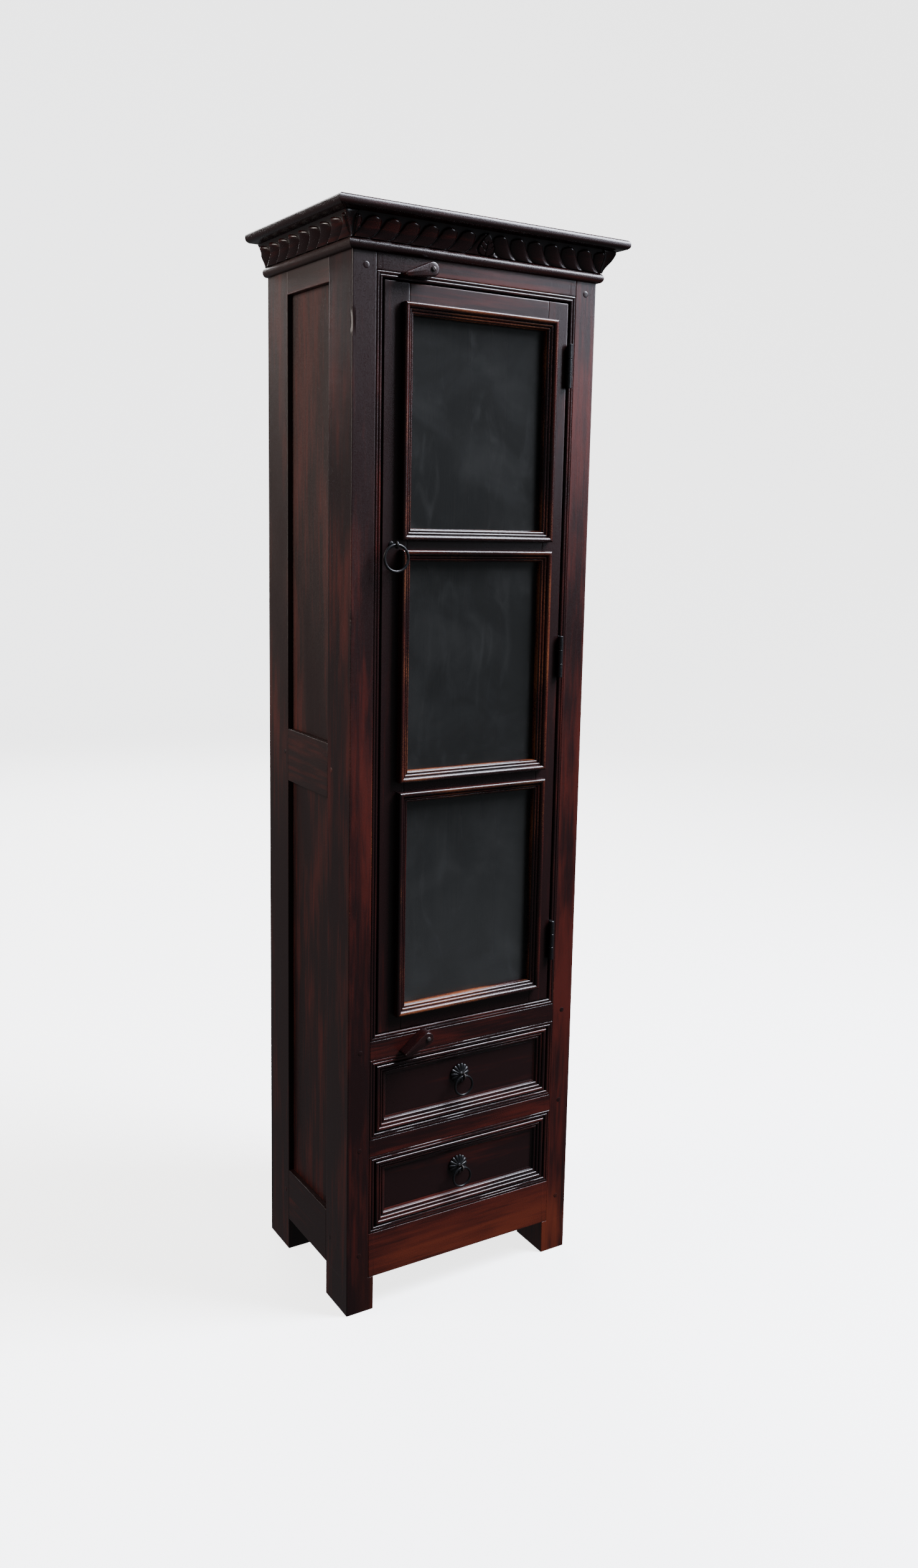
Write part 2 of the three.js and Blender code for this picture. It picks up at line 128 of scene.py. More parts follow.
class Flow:
    """A value in a material's nodes, used in a Python expression."""

    def __init__(self, look, socket):
        self.look = look
        self.socket = socket

    def maths(self, operation, *values):
        return self.look.node("ShaderNodeMath", {"operation": operation}, dict(enumerate(values)))

    def __add__(self, other):
        return self.maths("ADD", self, other)

    __radd__ = __add__

    def __sub__(self, other):
        return self.maths("SUBTRACT", self, other)

    def __rsub__(self, other):
        return self.maths("SUBTRACT", other, self)

    def __mul__(self, other):
        return self.maths("MULTIPLY", self, other)

    __rmul__ = __mul__

    def __pow__(self, other):
        return self.maths("POWER", self, other)

    def __neg__(self):
        return self.maths("MULTIPLY", self, -1.0)

    def step(self, low, high):
        """0 below low, 1 above high, and smooth between."""
        return self.look.node(
            "ShaderNodeMapRange",
            {"interpolation_type": "SMOOTHSTEP"},
            {"Value": self, "From Min": low, "From Max": high},
        )


class Look:
    """One finish and its nodes."""

    made = {}

    def __init__(self, name):
        """Starts a material with no nodes."""
        self.material = bpy.data.materials.new(name)
        self.material.use_nodes = True
        self.tree = self.material.node_tree
        self.tree.nodes.clear()
        Look.made[name] = self.material

    def node(self, kind, settings=None, inputs=None, output=0):
        """A node of any kind: its settings first, then the values or links of its sockets."""
        made = self.tree.nodes.new(kind)
        for key, value in (settings or {}).items():
            setattr(made, key, value)
        for key, value in (inputs or {}).items():
            if isinstance(value, Flow):
                self.tree.links.new(value.socket, made.inputs[key])
            else:
                made.inputs[key].default_value = value
        return None if output is None else Flow(self, made.outputs[output])

    def mix(self, factor, first, second, how="MIX"):
        """Two colours mixed."""
        return self.node(
            "ShaderNodeMix",
            {"data_type": "RGBA", "blend_type": how},
            {0: factor, 6: rgba(first), 7: rgba(second)},
            output=2,
        )

    def vector(self, operation, first, second):
        return self.node("ShaderNodeVectorMath", {"operation": operation}, {0: first, 1: second})

    def noise(self, place, scale, detail=3.0, rough=0.5, distort=0.0):
        return self.node(
            "ShaderNodeTexNoise",
            {},
            {"Vector": place, "Scale": scale, "Detail": detail, "Roughness": rough, "Distortion": distort},
        )

    def place(self):
        """Where a point lies on the case, shifted for each board so that no two have the same grain."""
        spot = self.node("ShaderNodeTexCoord", output="Object")
        shift = self.node("ShaderNodeAttribute", {"attribute_name": "board"}, output="Vector")
        return spot, self.vector("ADD", spot, shift)

    def edge(self):
        """1 on a rubbed crest, -1 for painted shade deep in a quirk, 0 on the flat."""
        return self.node("ShaderNodeAttribute", {"attribute_name": "edge"}, output="Fac")

    def bump(self, height, strength, distance):
        return self.node(
            "ShaderNodeBump", {}, {"Strength": strength, "Distance": distance, "Height": height}
        )

    def surface(self, **sockets):
        """A Principled shader with these sockets set or linked, straight to the output."""
        inputs = {name.replace("_", " "): value for name, value in sockets.items()}
        shader = self.node("ShaderNodeBsdfPrincipled", {}, inputs)
        return self.out(shader)

    def out(self, shader):
        """Sends a shader to the output and hands back the finished material."""
        self.node("ShaderNodeOutputMaterial", {}, {"Surface": shader}, output=None)
        return self.material


def rgba(colour):
    """A colour for a socket."""
    return colour if isinstance(colour, Flow) else (*tuple(colour)[:3], 1.0)


GRAIN_STRETCH = 0.07
BAND_STRETCH = 0.035
PATCH_STRETCH = 0.3
LOW_ON_CASE = 0.165
PORE_DARK = (0.006, 0.003, 0.003)
# near-black colour of the painted shade in quirks, creases and carved hollows
PAINTED_QUIRK_SHADE = (0.004, 0.0025, 0.0025)
BRIGHT_IRON = (0.11, 0.1, 0.095)
TARNISH = (0.03, 0.022, 0.018)
GLASS_TINT = (0.5, 0.55, 0.53)


def along(axis, amount):
    """A scale that draws a pattern out along one axis."""
    return tuple(amount if k == axis else 1.0 for k in range(3))


def lacquer(axis, side=False, gloss=0.3, redness=0.5, wear=0.2):
    """Dark lacquered hardwood with its grain along an axis. side is the dustier finish of the sides, with a
    painted sheen that greys them higher up.
    """
    name = f"lacquer_{'xyz'[axis]}_{int(side)}_{int(gloss * 100)}_{int(redness * 100)}_{int(wear * 100)}"
    if name in Look.made:
        return Look.made[name]
    colours = bpy.context.scene.case_colours
    look = Look(name)
    spot, place = look.place()
    height = look.node("ShaderNodeSeparateXYZ", {}, {0: spot}, output="Z")
    across = look.node("ShaderNodeSeparateXYZ", {}, {0: spot}, output="X")
    patches = look.noise(look.vector("MULTIPLY", place, along(axis, PATCH_STRETCH)), 11.0, 3.0, 0.55)
    streaks = look.noise(look.vector("MULTIPLY", place, along(axis, GRAIN_STRETCH)), 150.0, 4.0, 0.6, 0.5)
    bands = look.noise(look.vector("MULTIPLY", place, along(axis, BAND_STRETCH)), 45.0, 2.0, 0.5, 1.2)
    pores = look.noise(look.vector("MULTIPLY", place, along(axis, 0.12)), 1500.0, 2.0, 0.6)
    grit = look.noise(place, 620.0, 2.0, 0.55)
    fine = look.noise(look.vector("MULTIPLY", place, along(axis, 0.5)), 1300.0, 1.0, 0.5)
    edge = look.edge()

    figure = (patches * 0.5 + bands * 0.26 + streaks * 0.3).step(0.65 - redness * 0.3, 0.86 - redness * 0.3)
    colour = look.mix(figure, colours.dark, colours.red)
    dark_pores = (1.0 - pores).step(0.55, 0.8) * 0.45
    colour = look.mix(dark_pores, colour, PORE_DARK)
    low = (LOW_ON_CASE - height).step(0.0, 0.11) * (across + 0.2).step(-0.02, 0.08)
    warm_patch = low * (patches * 0.6 + bands * 0.5 + streaks * 0.3).step(0.5, 0.86)
    colour = look.mix(warm_patch * 0.85, colour, colours.warm)
    rubbed = (edge * 0.6 + (grit - 0.5) * 0.6 + (patches - 0.5) * 1.5).step(1.0 - wear, 1.3 - wear * 0.65)
    colour = look.mix(rubbed * 0.85, colour, colours.worn)
    # Painted shade: where the edge value is negative, in quirks, creases and carved hollows, the lacquer
    # goes near black.
    shade = (-edge).step(0.2, 1.0)
    colour = look.mix(shade * 0.8, colour, PAINTED_QUIRK_SHADE)
    rough = gloss + (patches - 0.5) * 0.2 + (grit - 0.5) * 0.2 + shade * 0.25 + dark_pores * 0.2
    if side:
        # Dust film and painted sheen: the sides grow greyer higher up, where they catch a reflection.
        film_and_reflection = (height + patches * 0.55).step(0.75, 1.75) * (0.45 + (grit - 0.5) * 0.9)
        colour = look.mix(film_and_reflection * 0.36, colour, colours.dust_and_sheen)
        rough = rough + film_and_reflection * 0.18
    runs = look.noise(look.vector("MULTIPLY", place, along(axis, 0.35)), 75.0, 2.0, 0.5)
    relief = fine * 0.35 + grit * 0.14 + pores * 0.2 + streaks * 0.25 + runs * 0.25
    return look.surface(
        Base_Color=colour, Roughness=rough, Normal=look.bump(relief, 0.3, 0.0009), IOR=1.42
    )


def bare_wood(axis):
    """Plain, thinly oiled wood of drawer sides, shelves and backs."""
    name = f"bare_wood_{'xyz'[axis]}"
    if name in Look.made:
        return Look.made[name]
    colours = bpy.context.scene.case_colours
    look = Look(name)
    _, place = look.place()
    rings = look.noise(look.vector("MULTIPLY", place, along(axis, 0.04)), 38.0, 3.0, 0.5, 1.6)
    streaks = look.noise(look.vector("MULTIPLY", place, along(axis, 0.05)), 260.0, 4.0, 0.65)
    stains = look.noise(place, 9.0, 3.0, 0.5)
    edge = look.edge()
    colour = look.mix((rings * 0.6 + streaks * 0.4).step(0.36, 0.66), colours.bare_dark, colours.bare)
    colour = look.mix(stains.step(0.5, 0.75) * 0.55, colour, colours.bare_dark)
    colour = look.mix(edge.step(0.3, 1.0) * 0.3, colour, colours.bare)
    return look.surface(
        Base_Color=colour,
        Roughness=0.62 + (streaks - 0.5) * 0.3,
        Normal=look.bump(streaks + rings, 0.3, 0.0006),
    )


def black_iron():
    """Blackened iron, a little worn to bare metal on its edges."""
    if "black_iron" in Look.made:
        return Look.made["black_iron"]
    colours = bpy.context.scene.case_colours
    look = Look("black_iron")
    _, place = look.place()
    scale = look.noise(place, 420.0, 4.0, 0.6)
    hammer = look.noise(place, 130.0, 2.0, 0.5)
    edge = look.edge()
    bright = (edge * 0.5 + scale * 0.9).step(0.98, 1.2)
    colour = look.mix(bright * 0.55, colours.iron, BRIGHT_IRON)
    return look.surface(
        Base_Color=colour,
        Roughness=0.36 + (scale - 0.5) * 0.4 - bright * 0.06,
        Metallic=0.3 + bright * 0.5,
        Normal=look.bump(scale * 0.6 + hammer, 0.35, 0.0006),
    )


def screw_steel():
    """Dull, darkened steel of a screw."""
    if "screw_steel" in Look.made:
        return Look.made["screw_steel"]
    colours = bpy.context.scene.case_colours
    look = Look("screw_steel")
    _, place = look.place()
    tarnish = look.noise(place, 700.0, 4.0, 0.6)
    colour = look.mix(tarnish.step(0.42, 0.62) * 0.75, colours.steel, TARNISH)
    return look.surface(
        Base_Color=colour,
        Roughness=0.3 + tarnish * 0.35,
        Metallic=0.7 - tarnish * 0.4,
        Normal=look.bump(tarnish, 0.3, 0.0003),
    )


def pane_glass(level, across, up):
    """Old glass with a thin film that thickens towards the rim of the pane, and more film low on the door as
    a painted reflection of the floor.
    """
    (left, right), (low, high) = across, up
    colours = bpy.context.scene.case_colours
    look = Look(f"pane_glass_{level}")
    spot = look.node("ShaderNodeTexCoord", output="Object")
    x = look.node("ShaderNodeSeparateXYZ", {}, {0: spot}, output="X")
    z = look.node("ShaderNodeSeparateXYZ", {}, {0: spot}, output="Z")
    half_x, half_z = (right - left) / 2, (high - low) / 2
    rim_x = (x - (left + right) / 2) * (1 / half_x)
    rim_z = (z - (low + high) / 2) * (1 / half_z)
    far = (rim_x * rim_x) ** 4.0 + (rim_z * rim_z) ** 5.0
    clouds = look.noise(spot, 9.0, 5.0, 0.55, 0.6)
    wipes = look.noise(look.vector("MULTIPLY", spot, (1.0, 1.0, 0.3)), 26.0, 5.0, 0.6, 1.2)
    film_and_reflection = 0.06 + clouds.step(0.35, 0.8) * 0.05 + wipes.step(0.52, 0.8) * 0.05
    # The (0.95 - z) term is a painted reflection of the floor: more film, so a lighter pane, lower down. The
    # rim term is the film itself.
    film_and_reflection = film_and_reflection + (0.95 - z).step(0.0, 0.4) * 0.07 + far.step(0.25, 1.25) * (0.1 + clouds * 0.45)
    wave = look.noise(spot, 5.0, 1.0, 0.4)
    normal = look.bump(wave, 0.15, 0.004)
    clear = look.node("ShaderNodeBsdfTransparent", {}, {"Color": rgba(GLASS_TINT)})
    shine = look.node(
        "ShaderNodeBsdfGlossy", {}, {"Color": (0.95, 0.97, 1.0, 1.0), "Roughness": 0.035, "Normal": normal}
    )
    dull = look.node(
        "ShaderNodeBsdfPrincipled",
        {},
        {"Base Color": rgba(colours.film_and_reflection), "Roughness": 0.5, "Normal": normal},
    )
    facing = look.node("ShaderNodeFresnel", {}, {"IOR": 1.5, "Normal": normal})
    glazed = look.node("ShaderNodeMixShader", {}, {0: facing * 0.9, 1: clear, 2: shine})
    return look.out(look.node("ShaderNodeMixShader", {}, {0: film_and_reflection, 1: glazed, 2: dull}))


# ---------------------------------------------------------------- solids


def share(name, turn):
    """A fixed number from 0 to 1 for a name, the same in every run."""
    return zlib.crc32(f"{name}/{turn}".encode()) / 0xFFFFFFFF


def wander(run, name, amount):
    """A slow, uneven drift along a length, as a hand plane leaves."""
    drift = 0.0
    for k, (weight, length) in enumerate(((0.5, 0.31), (0.32, 0.121), (0.18, 0.053))):
        drift = drift + weight * np.sin(2 * math.pi * (run / length + share(name, k)))
    return amount * drift


class Solid:
    """Collects the closed solids of one piece."""

    def __init__(self, name):
        self.name = name
        self.points, self.edges, self.shifts, self.faces, self.looks = [], [], [], [], []
        self.count = 0

    def add(self, points, faces, edge=None, look=0):
        """One closed solid. edge is each point's value from -1 to 1: wear where positive, painted shade
        where negative.
        """
        points = np.asarray(points, float).reshape(-1, 3)
        turn = len(self.points)
        shift = [3.0 * share(self.name, f"{turn}{axis}") for axis in "xyz"]
        self.points.append(points)
        self.edges.append(np.zeros(len(points)) if edge is None else np.asarray(edge, float))
        self.shifts.append(np.tile(shift, (len(points), 1)))
        self.faces.extend(tuple(int(i) + self.count for i in face) for face in faces)
        self.looks.extend([look] * len(faces))
        self.count += len(points)
        return self

    def add_bmesh(self, bm, look=0):
        """A bmesh as one more solid, with its edge layer."""
        layer = bm.verts.layers.float.get("edge")
        bm.verts.index_update()
        points = [tuple(v.co) for v in bm.verts]
        edge = [v[layer] for v in bm.verts] if layer else None
        faces = [[v.index for v in f.verts] for f in bm.faces]
        self.add(points, faces, edge, look)
        bm.free()
        return self

    def piece(self, looks, body, nodes=(), sharp=32.0):
        """The finished object, riding on its body and standing for its nodes."""
        mesh = bpy.data.meshes.new(self.name)
        mesh.from_pydata(np.concatenate(self.points).tolist(), [], self.faces)
        mesh.polygons.foreach_set("material_index", self.looks)
        mesh.attributes.new("edge", "FLOAT", "POINT").data.foreach_set(
            "value", np.concatenate(self.edges).astype(np.float32)
        )
        mesh.attributes.new("board", "FLOAT_VECTOR", "POINT").data.foreach_set(
            "vector", np.concatenate(self.shifts).astype(np.float32).ravel()
        )
        bm = bmesh.new()
        bm.from_mesh(mesh)
        bmesh.ops.recalc_face_normals(bm, faces=bm.faces)
        for face in bm.faces:
            face.smooth = True
        bm.to_mesh(mesh)
        bm.free()
        mesh.set_sharp_from_angle(angle=math.radians(sharp))
        for look in looks if isinstance(looks, (list, tuple)) else [looks]:
            mesh.materials.append(look)
        made = bpy.data.objects.new(self.name, mesh)
        bpy.context.scene.collection.objects.link(made)
        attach(made, body)
        if nodes:
            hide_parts(*nodes)
        return made


SIDES = [
    ((1, 0, 0), [(1, 0, 0), (1, 1, 0), (1, 1, 1), (1, 0, 1)]),
    ((-1, 0, 0), [(0, 0, 0), (0, 0, 1), (0, 1, 1), (0, 1, 0)]),
    ((0, 1, 0), [(0, 1, 0), (0, 1, 1), (1, 1, 1), (1, 1, 0)]),
    ((0, -1, 0), [(0, 0, 0), (1, 0, 0), (1, 0, 1), (0, 0, 1)]),
    ((0, 0, 1), [(0, 0, 1), (1, 0, 1), (1, 1, 1), (0, 1, 1)]),
    ((0, 0, -1), [(0, 0, 0), (0, 1, 0), (1, 1, 0), (1, 0, 0)]),
]


def notched_bmesh(keep, cut=()):
    """The boxes to keep less the boxes to cut, as one closed mesh with no needless edges."""
    grid = [sorted({round(box[axis][k], 7) for box in (*keep, *cut) for k in (0, 1)}) for axis in range(3)]

    def inside(middle, boxes):
        return any(all(box[k][0] < middle[k] < box[k][1] for k in range(3)) for box in boxes)

    cells = {}
    for i in range(len(grid[0]) - 1):
        for j in range(len(grid[1]) - 1):
            for k in range(len(grid[2]) - 1):
                at = (i, j, k)
                middle = [(grid[a][at[a]] + grid[a][at[a] + 1]) / 2 for a in range(3)]
                cells[at] = inside(middle, keep) and not inside(middle, cut)
    bm = bmesh.new()
    corners = {}

    def corner(key):
        if key not in corners:
            corners[key] = bm.verts.new([grid[a][key[a]] for a in range(3)])
        return corners[key]

    for at, full in cells.items():
        if not full:
            continue
        for step, ring in SIDES:
            if not cells.get(tuple(at[a] + step[a] for a in range(3)), False):
                bm.faces.new([corner(tuple(at[a] + c[a] for a in range(3))) for c in ring])
    bmesh.ops.dissolve_limit(bm, angle_limit=0.01, verts=bm.verts, edges=bm.edges)
    return bm


def ease_edges(bm, radius, rim):
    """Rounds the outer edges, and leaves a narrow rim on each flat so that wear stays near the edge."""
    layer = bm.verts.layers.float.new("edge")
    outer = [e for e in bm.edges if len(e.link_faces) == 2 and e.calc_face_angle_signed(0.0) > 0.3]
    made = bmesh.ops.bevel(
        bm, geom=outer, offset=radius, offset_type="OFFSET", segments=3, profile=0.5, affect="EDGES",
        clamp_overlap=True,
    )
    rounded = set(made["faces"])
    for face in rounded:
        for vert in face.verts:
            vert[layer] = 1.0
    flats = [f for f in bm.faces if f not in rounded and min(e.calc_length() for e in f.edges) > 2.2 * rim]
    bmesh.ops.inset_individual(bm, faces=flats, thickness=rim, depth=0.0, use_even_offset=True)
    for face in flats:
        for vert in face.verts:
            vert[layer] = 0.0
    return bm


def add_board(solid, keep, cut=(), radius=None, look=0, chips=()):
    """One board with eased edges. chips are knocks as (point, length, depth)."""
    radius = radius or bpy.context.scene.case_sizes.ease
    bm = ease_edges(notched_bmesh(keep, cut), radius, 1.6 * MM)
    layer = bm.verts.layers.float.get("edge")
    for point, length, depth in chips:
        knock(bm, layer, Vector(point), length, depth)
    return solid.add_bmesh(bm, look)


def knock(bm, layer, point, length, depth):
    """Presses a small bruise into the edge of an upright board, round a point on that edge."""
    centre = Vector((0, (FACE_Y + BACK_Y) / 2, point.z))
    reach = 5.5 * MM
    inwards = [math.copysign(1, centre[axis] - point[axis]) for axis in (X, Y)]
    cuts = [(point + Vector((0, 0, k * length / 12)), (0, 0, 1)) for k in range(-8, 9)]
    cuts += [(point + Vector((inwards[0] * reach * k, 0, 0)), (1, 0, 0)) for k in (0.6, 0.8, 1)]
    cuts += [(point + Vector((0, inwards[1] * reach * k, 0)), (0, 1, 0)) for k in (0.6, 0.8, 1)]
    for spot, facing in cuts:
        everything = [*bm.verts, *bm.edges, *bm.faces]
        bmesh.ops.bisect_plane(bm, geom=everything, plane_co=spot, plane_no=facing)
    for vert in bm.verts:
        off = vert.co - point
        up = 1 - (2 * off.z / length) ** 2
        near = 1 - (math.hypot(off.x, off.y) / reach) ** 2
        if up > 0.02 and near > 0:
            inward = (centre - point).normalized()
            vert.co += inward * depth * up * near * (0.7 + 0.3 * math.sin(off.z * 900))
            vert[layer] = max(vert[layer], 0.85 + 0.3 * up * near)


def bead(start, end, base_start, base_end, rise, steps=7):
    """A rounded reed between two quirks, as (inset, depth) points with their wear, which goes negative as
    painted shade in the quirks. Depth grows inwards.
    """
    points = []
    for k in range(steps + 1):
        angle = math.pi * k / steps
        t = (1 - math.cos(angle)) / 2
        lift = math.sin(angle)
        depth = base_start + (base_end - base_start) * t - rise * lift
        points.append((start + (end - start) * t, depth, -0.9 + 1.5 * lift))
    return points


def scaled(profile):
    """A profile given in millimetres, in metres."""
    return [(inset * MM, depth * MM, wear) for inset, depth, wear in profile]


# In these profiles the third value is wear where positive and painted shade in the quirks where negative.
OPENING_BEAD = scaled(
    [
        (0, 6, 0),
        (0, 0.9, -1),
        *bead(0.15, 4.7, 0.9, 0.9, 1.4),
        *bead(5.3, 9.6, 0.9, 0.9, 1.4),
        (10, 1.2, -0.6),
        (10, 6, 0),
    ]
)
PANE_MOULDING = scaled(
    [
        (0, 0.7, 0),
        (0, -8.6, 0.1),
        *bead(0.1, 8.2, -9.3, -8.0, 3.9, 10),
        (8.6, -6.9, -0.9),
        *bead(9.0, 12.9, -6.7, -5.2, 1.9),
        *bead(13.5, 17.2, -4.4, -2.9, 1.7),
        (17.7, -2.3, 1.0),
        (18, -1.6, 1.15),
        (18, 7.7, 0.35),
        (13.6, 7.7, 0),
        (13.6, 0.7, 0),
    ]
)
DRAWER_MOULDING = scaled(
    [
        (0, 22, 0),
        (0, 2.2, 0),
        *bead(0.15, 6.6, 1.9, 2.3, 2.9, 8),
        (7.0, 3.4, -0.9),
        *bead(7.4, 12.0, 3.5, 4.3, 2.3),
        (12.5, 5.6, -0.9),
        *bead(12.9, 17.8, 6.0, 6.9, 2.5),
        (18.4, 8.0, -0.7),
        (20.2, 8.6, 0.2),
        (22, 9.4, -0.8),
        (22, 22, 0),
    ]
)


def skin(rings, count, closed=False):
    """Faces between rings of points that follow each other. A closed run of rings joins up with itself."""
    faces = []
    for r in range(rings if closed else rings - 1):
        far = (r + 1) % rings
        for c in range(count):
            n = (c + 1) % count
            faces.append((r * count + c, r * count + n, far * count + n, far * count + c))
    return faces


def capped_skin(rings, count, last_cap=True):
    """Faces between rings, with a flat cap on the first ring and, if asked for, on the last."""
    faces = [*skin(rings, count), tuple(reversed(range(count)))]
    if last_cap:
        faces.append(tuple((rings - 1) * count + c for c in range(count)))
    return faces


def add_mitred_frame(solid, across, up, face_y, profile, pieces=26):
    """Four mitred lengths of moulding round a rectangle, running inwards from its edge."""
    (x0, x1), (z0, z1) = across, up
    corners = [(x0, z0), (x1, z0), (x1, z1), (x0, z1)]
    wobble = bpy.context.scene.case_sizes.wobble
    inset = np.array([p[0] for p in profile])
    depth = np.array([p[1] for p in profile])
    wear = np.array([p[2] for p in profile])
    seam = 0.12 * MM
    for side in range(4):
        start, end = np.array(corners[side]), np.array(corners[(side + 1) % 4])
        length = np.linalg.norm(end - start)
        run = (end - start) / length
        inward = np.array([-run[1], run[0]])
        t = np.linspace(0, 1, pieces)[:, None]
        first = inset + seam
        along_run = first + (length - 2 * first) * t
        drift = wander(along_run, f"{solid.name}{side}", wobble)
        ends = np.minimum(1, 8 * np.minimum(t, 1 - t))
        crest = np.clip(wear, 0, 1)
        sink = (0.5 * wobble + drift) * ends * (crest + 0.25 * (np.abs(depth) < 20 * MM))
        plane = start + along_run[..., None] * run + inset[None, :, None] * inward
        points = np.stack([plane[..., 0], face_y + depth + sink, plane[..., 1]], -1)
        rub = wear[None, :] * (0.8 + 0.2 * np.sin(along_run / 0.021 + 6 * side))
        look = 0 if side % 2 == 0 else 1
        solid.add(points, capped_skin(pieces, len(profile)), rub.ravel(), look)


def add_turned(solid, centre, axis, profile, spokes=28, wear=None, closed=False):
    """A turned solid. profile is (radius, distance along the axis). A closed one is bored through."""
    turn = Vector(axis).to_track_quat("Z", "Y").to_matrix()
    angles = [2 * math.pi * s / spokes for s in range(spokes)]
    points = [
        turn @ Vector((radius * math.cos(a), radius * math.sin(a), distance)) + Vector(centre)
        for radius, distance in profile
        for a in angles
    ]
    rings = len(profile)
    faces = skin(rings, spokes, closed=True) if closed else capped_skin(rings, spokes)
    solid.add(points, faces, np.repeat(wear or [0.0] * rings, spokes))


def add_tube(solid, centre, bore, radius, half_length):
    """A rolled knuckle: a short upright tube with softened ends."""
    soft = 0.4 * MM
    profile = [
        (bore, -half_length),
        (radius - soft, -half_length),
        (radius, -half_length + soft),
        (radius, half_length - soft),
        (radius - soft, half_length),
        (bore, half_length),
    ]
    add_turned(solid, centre, (0, 0, 1), profile, wear=[0.2, 0.9, 0.9, 0.9, 0.9, 0.2], closed=True)


def add_ring(solid, centre, axis, radius, wire, spokes=72, around=14, uneven=0.0):
    """A ring of round wire, forged a little unevenly."""
    turn = Vector(axis).to_track_quat("Z", "Y").to_matrix()
    points, edge = [], []
    for s in range(spokes):
        angle = 2 * math.pi * s / spokes
        thick = wire * (1 + uneven * (0.6 * math.sin(3 * angle + 1) + 0.4 * math.sin(7 * angle)))
        thick = min(thick, wire)
        for k in range(around):
            turned = 2 * math.pi * k / around
            reach = radius + thick * math.cos(turned)
            spot = Vector((reach * math.cos(angle), reach * math.sin(angle), thick * math.sin(turned)))
            points.append(turn @ spot + Vector(centre))
            edge.append(0.6 + 0.4 * math.cos(turned))
    solid.add(points, skin(spokes, around, closed=True), edge)


# a round screw head, as (share of its radius, share of its height)
SCREW_DOME = ((1, 0), (1, 0.35), (0.93, 0.62), (0.75, 0.83), (0.5, 0.95), (0.25, 1))
SLOT_WIDTH, SLOT_FLOOR, SLOT_RIM = 0.26, 0.45, 0.36


def add_screw_head(solid, centre, radius, height, slot_turn, neck_radius, neck_depth, spokes=32):
    """A slotted round head that faces the front, on its neck."""
    bm = bmesh.new()
    layer = bm.verts.layers.float.new("edge")
    profile = [(neck_radius, -neck_depth), (neck_radius, 0)]
    profile += [(radius * out, height * up) for out, up in SCREW_DOME]
    angles = [2 * math.pi * s / spokes for s in range(spokes)]
    verts = [bm.verts.new((r * math.cos(a), r * math.sin(a), h)) for r, h in profile for a in angles]
    for face in capped_skin(len(profile), spokes):
        bm.faces.new([verts[i] for i in face])
    half_slot = radius * SLOT_WIDTH / 2
    for side in (-half_slot, half_slot):
        everything = [*bm.verts, *bm.edges, *bm.faces]
        bmesh.ops.bisect_plane(bm, geom=everything, plane_co=(side, 0, 0), plane_no=(1, 0, 0))
    middles = [(face, face.calc_center_median()) for face in bm.faces]
    strip = [f for f, middle in middles if abs(middle.x) < half_slot and middle.z > height * SLOT_RIM]
    pushed = bmesh.ops.extrude_face_region(bm, geom=strip)
    for vert in pushed["geom"]:
        if isinstance(vert, bmesh.types.BMVert):
            shallow = vert.co.z <= height * SLOT_FLOOR
            vert.co.z = vert.co.z - height * 0.05 if shallow else height * SLOT_FLOOR
            vert[layer] = -1.0
    bmesh.ops.delete(bm, geom=[f for f in strip if f.is_valid], context="FACES_ONLY")
    forward = Vector((0, -1, 0)).to_track_quat("Z", "Y").to_matrix().to_4x4()
    turn = forward @ Matrix.Rotation(slot_turn, 4, "Z")
    bmesh.ops.transform(bm, matrix=Matrix.Translation(centre) @ turn, verts=bm.verts)
    solid.add_bmesh(bm)


# ---------------------------------------------------------------- operators


class MakePosts(bpy.types.Operator):
    """Four corner posts that run down as legs. The front ones are cut back for the rails and beads"""

    bl_idname = "display_case.posts"
    bl_label = "Posts"

    def execute(self, context):
        sizes = context.scene.case_sizes
        top = edges_of("front_top_rail")[Z][1]
        floor_gap = edges_of("front_apron")[Z][0]
        for side in ("left", "right"):
            box = edges_of(f"front_{side}_post")
            inner = box[X][1] if side == "left" else box[X][0]
            toward = -1 if side == "left" else 1
            reach = sorted((inner + toward * sizes.bead_width, inner - toward * MM))
            notch = [tuple(reach), (FACE_Y - MM, FACE_Y + sizes.bead_depth), (floor_gap, top + MM)]
            corner = (-HALF_WIDTH, FACE_Y)
            chips = []
            if side == "left":
                chips = [
                    ((*corner, 1.628), 42 * MM, 2.8 * MM),
                    ((*corner, 1.18), 14 * MM, 0.6 * MM),
                    ((*corner, 0.71), 20 * MM, 0.6 * MM),
                ]
            solid = Solid(f"{side}_front_post")
            add_board(solid, [box], [notch], chips=chips)
            finish = lacquer(Z, gloss=0.33, redness=0.5 if side == "left" else 0.75)
            solid.piece(finish, CASE, [f"front_{side}_post"])
            solid = Solid(f"{side}_back_post")
            add_board(solid, [edges_of(f"back_{side}_post")])
            solid.piece(lacquer(Z, side=True, gloss=0.38), CASE, [f"back_{side}_post"])
        return {"FINISHED"}


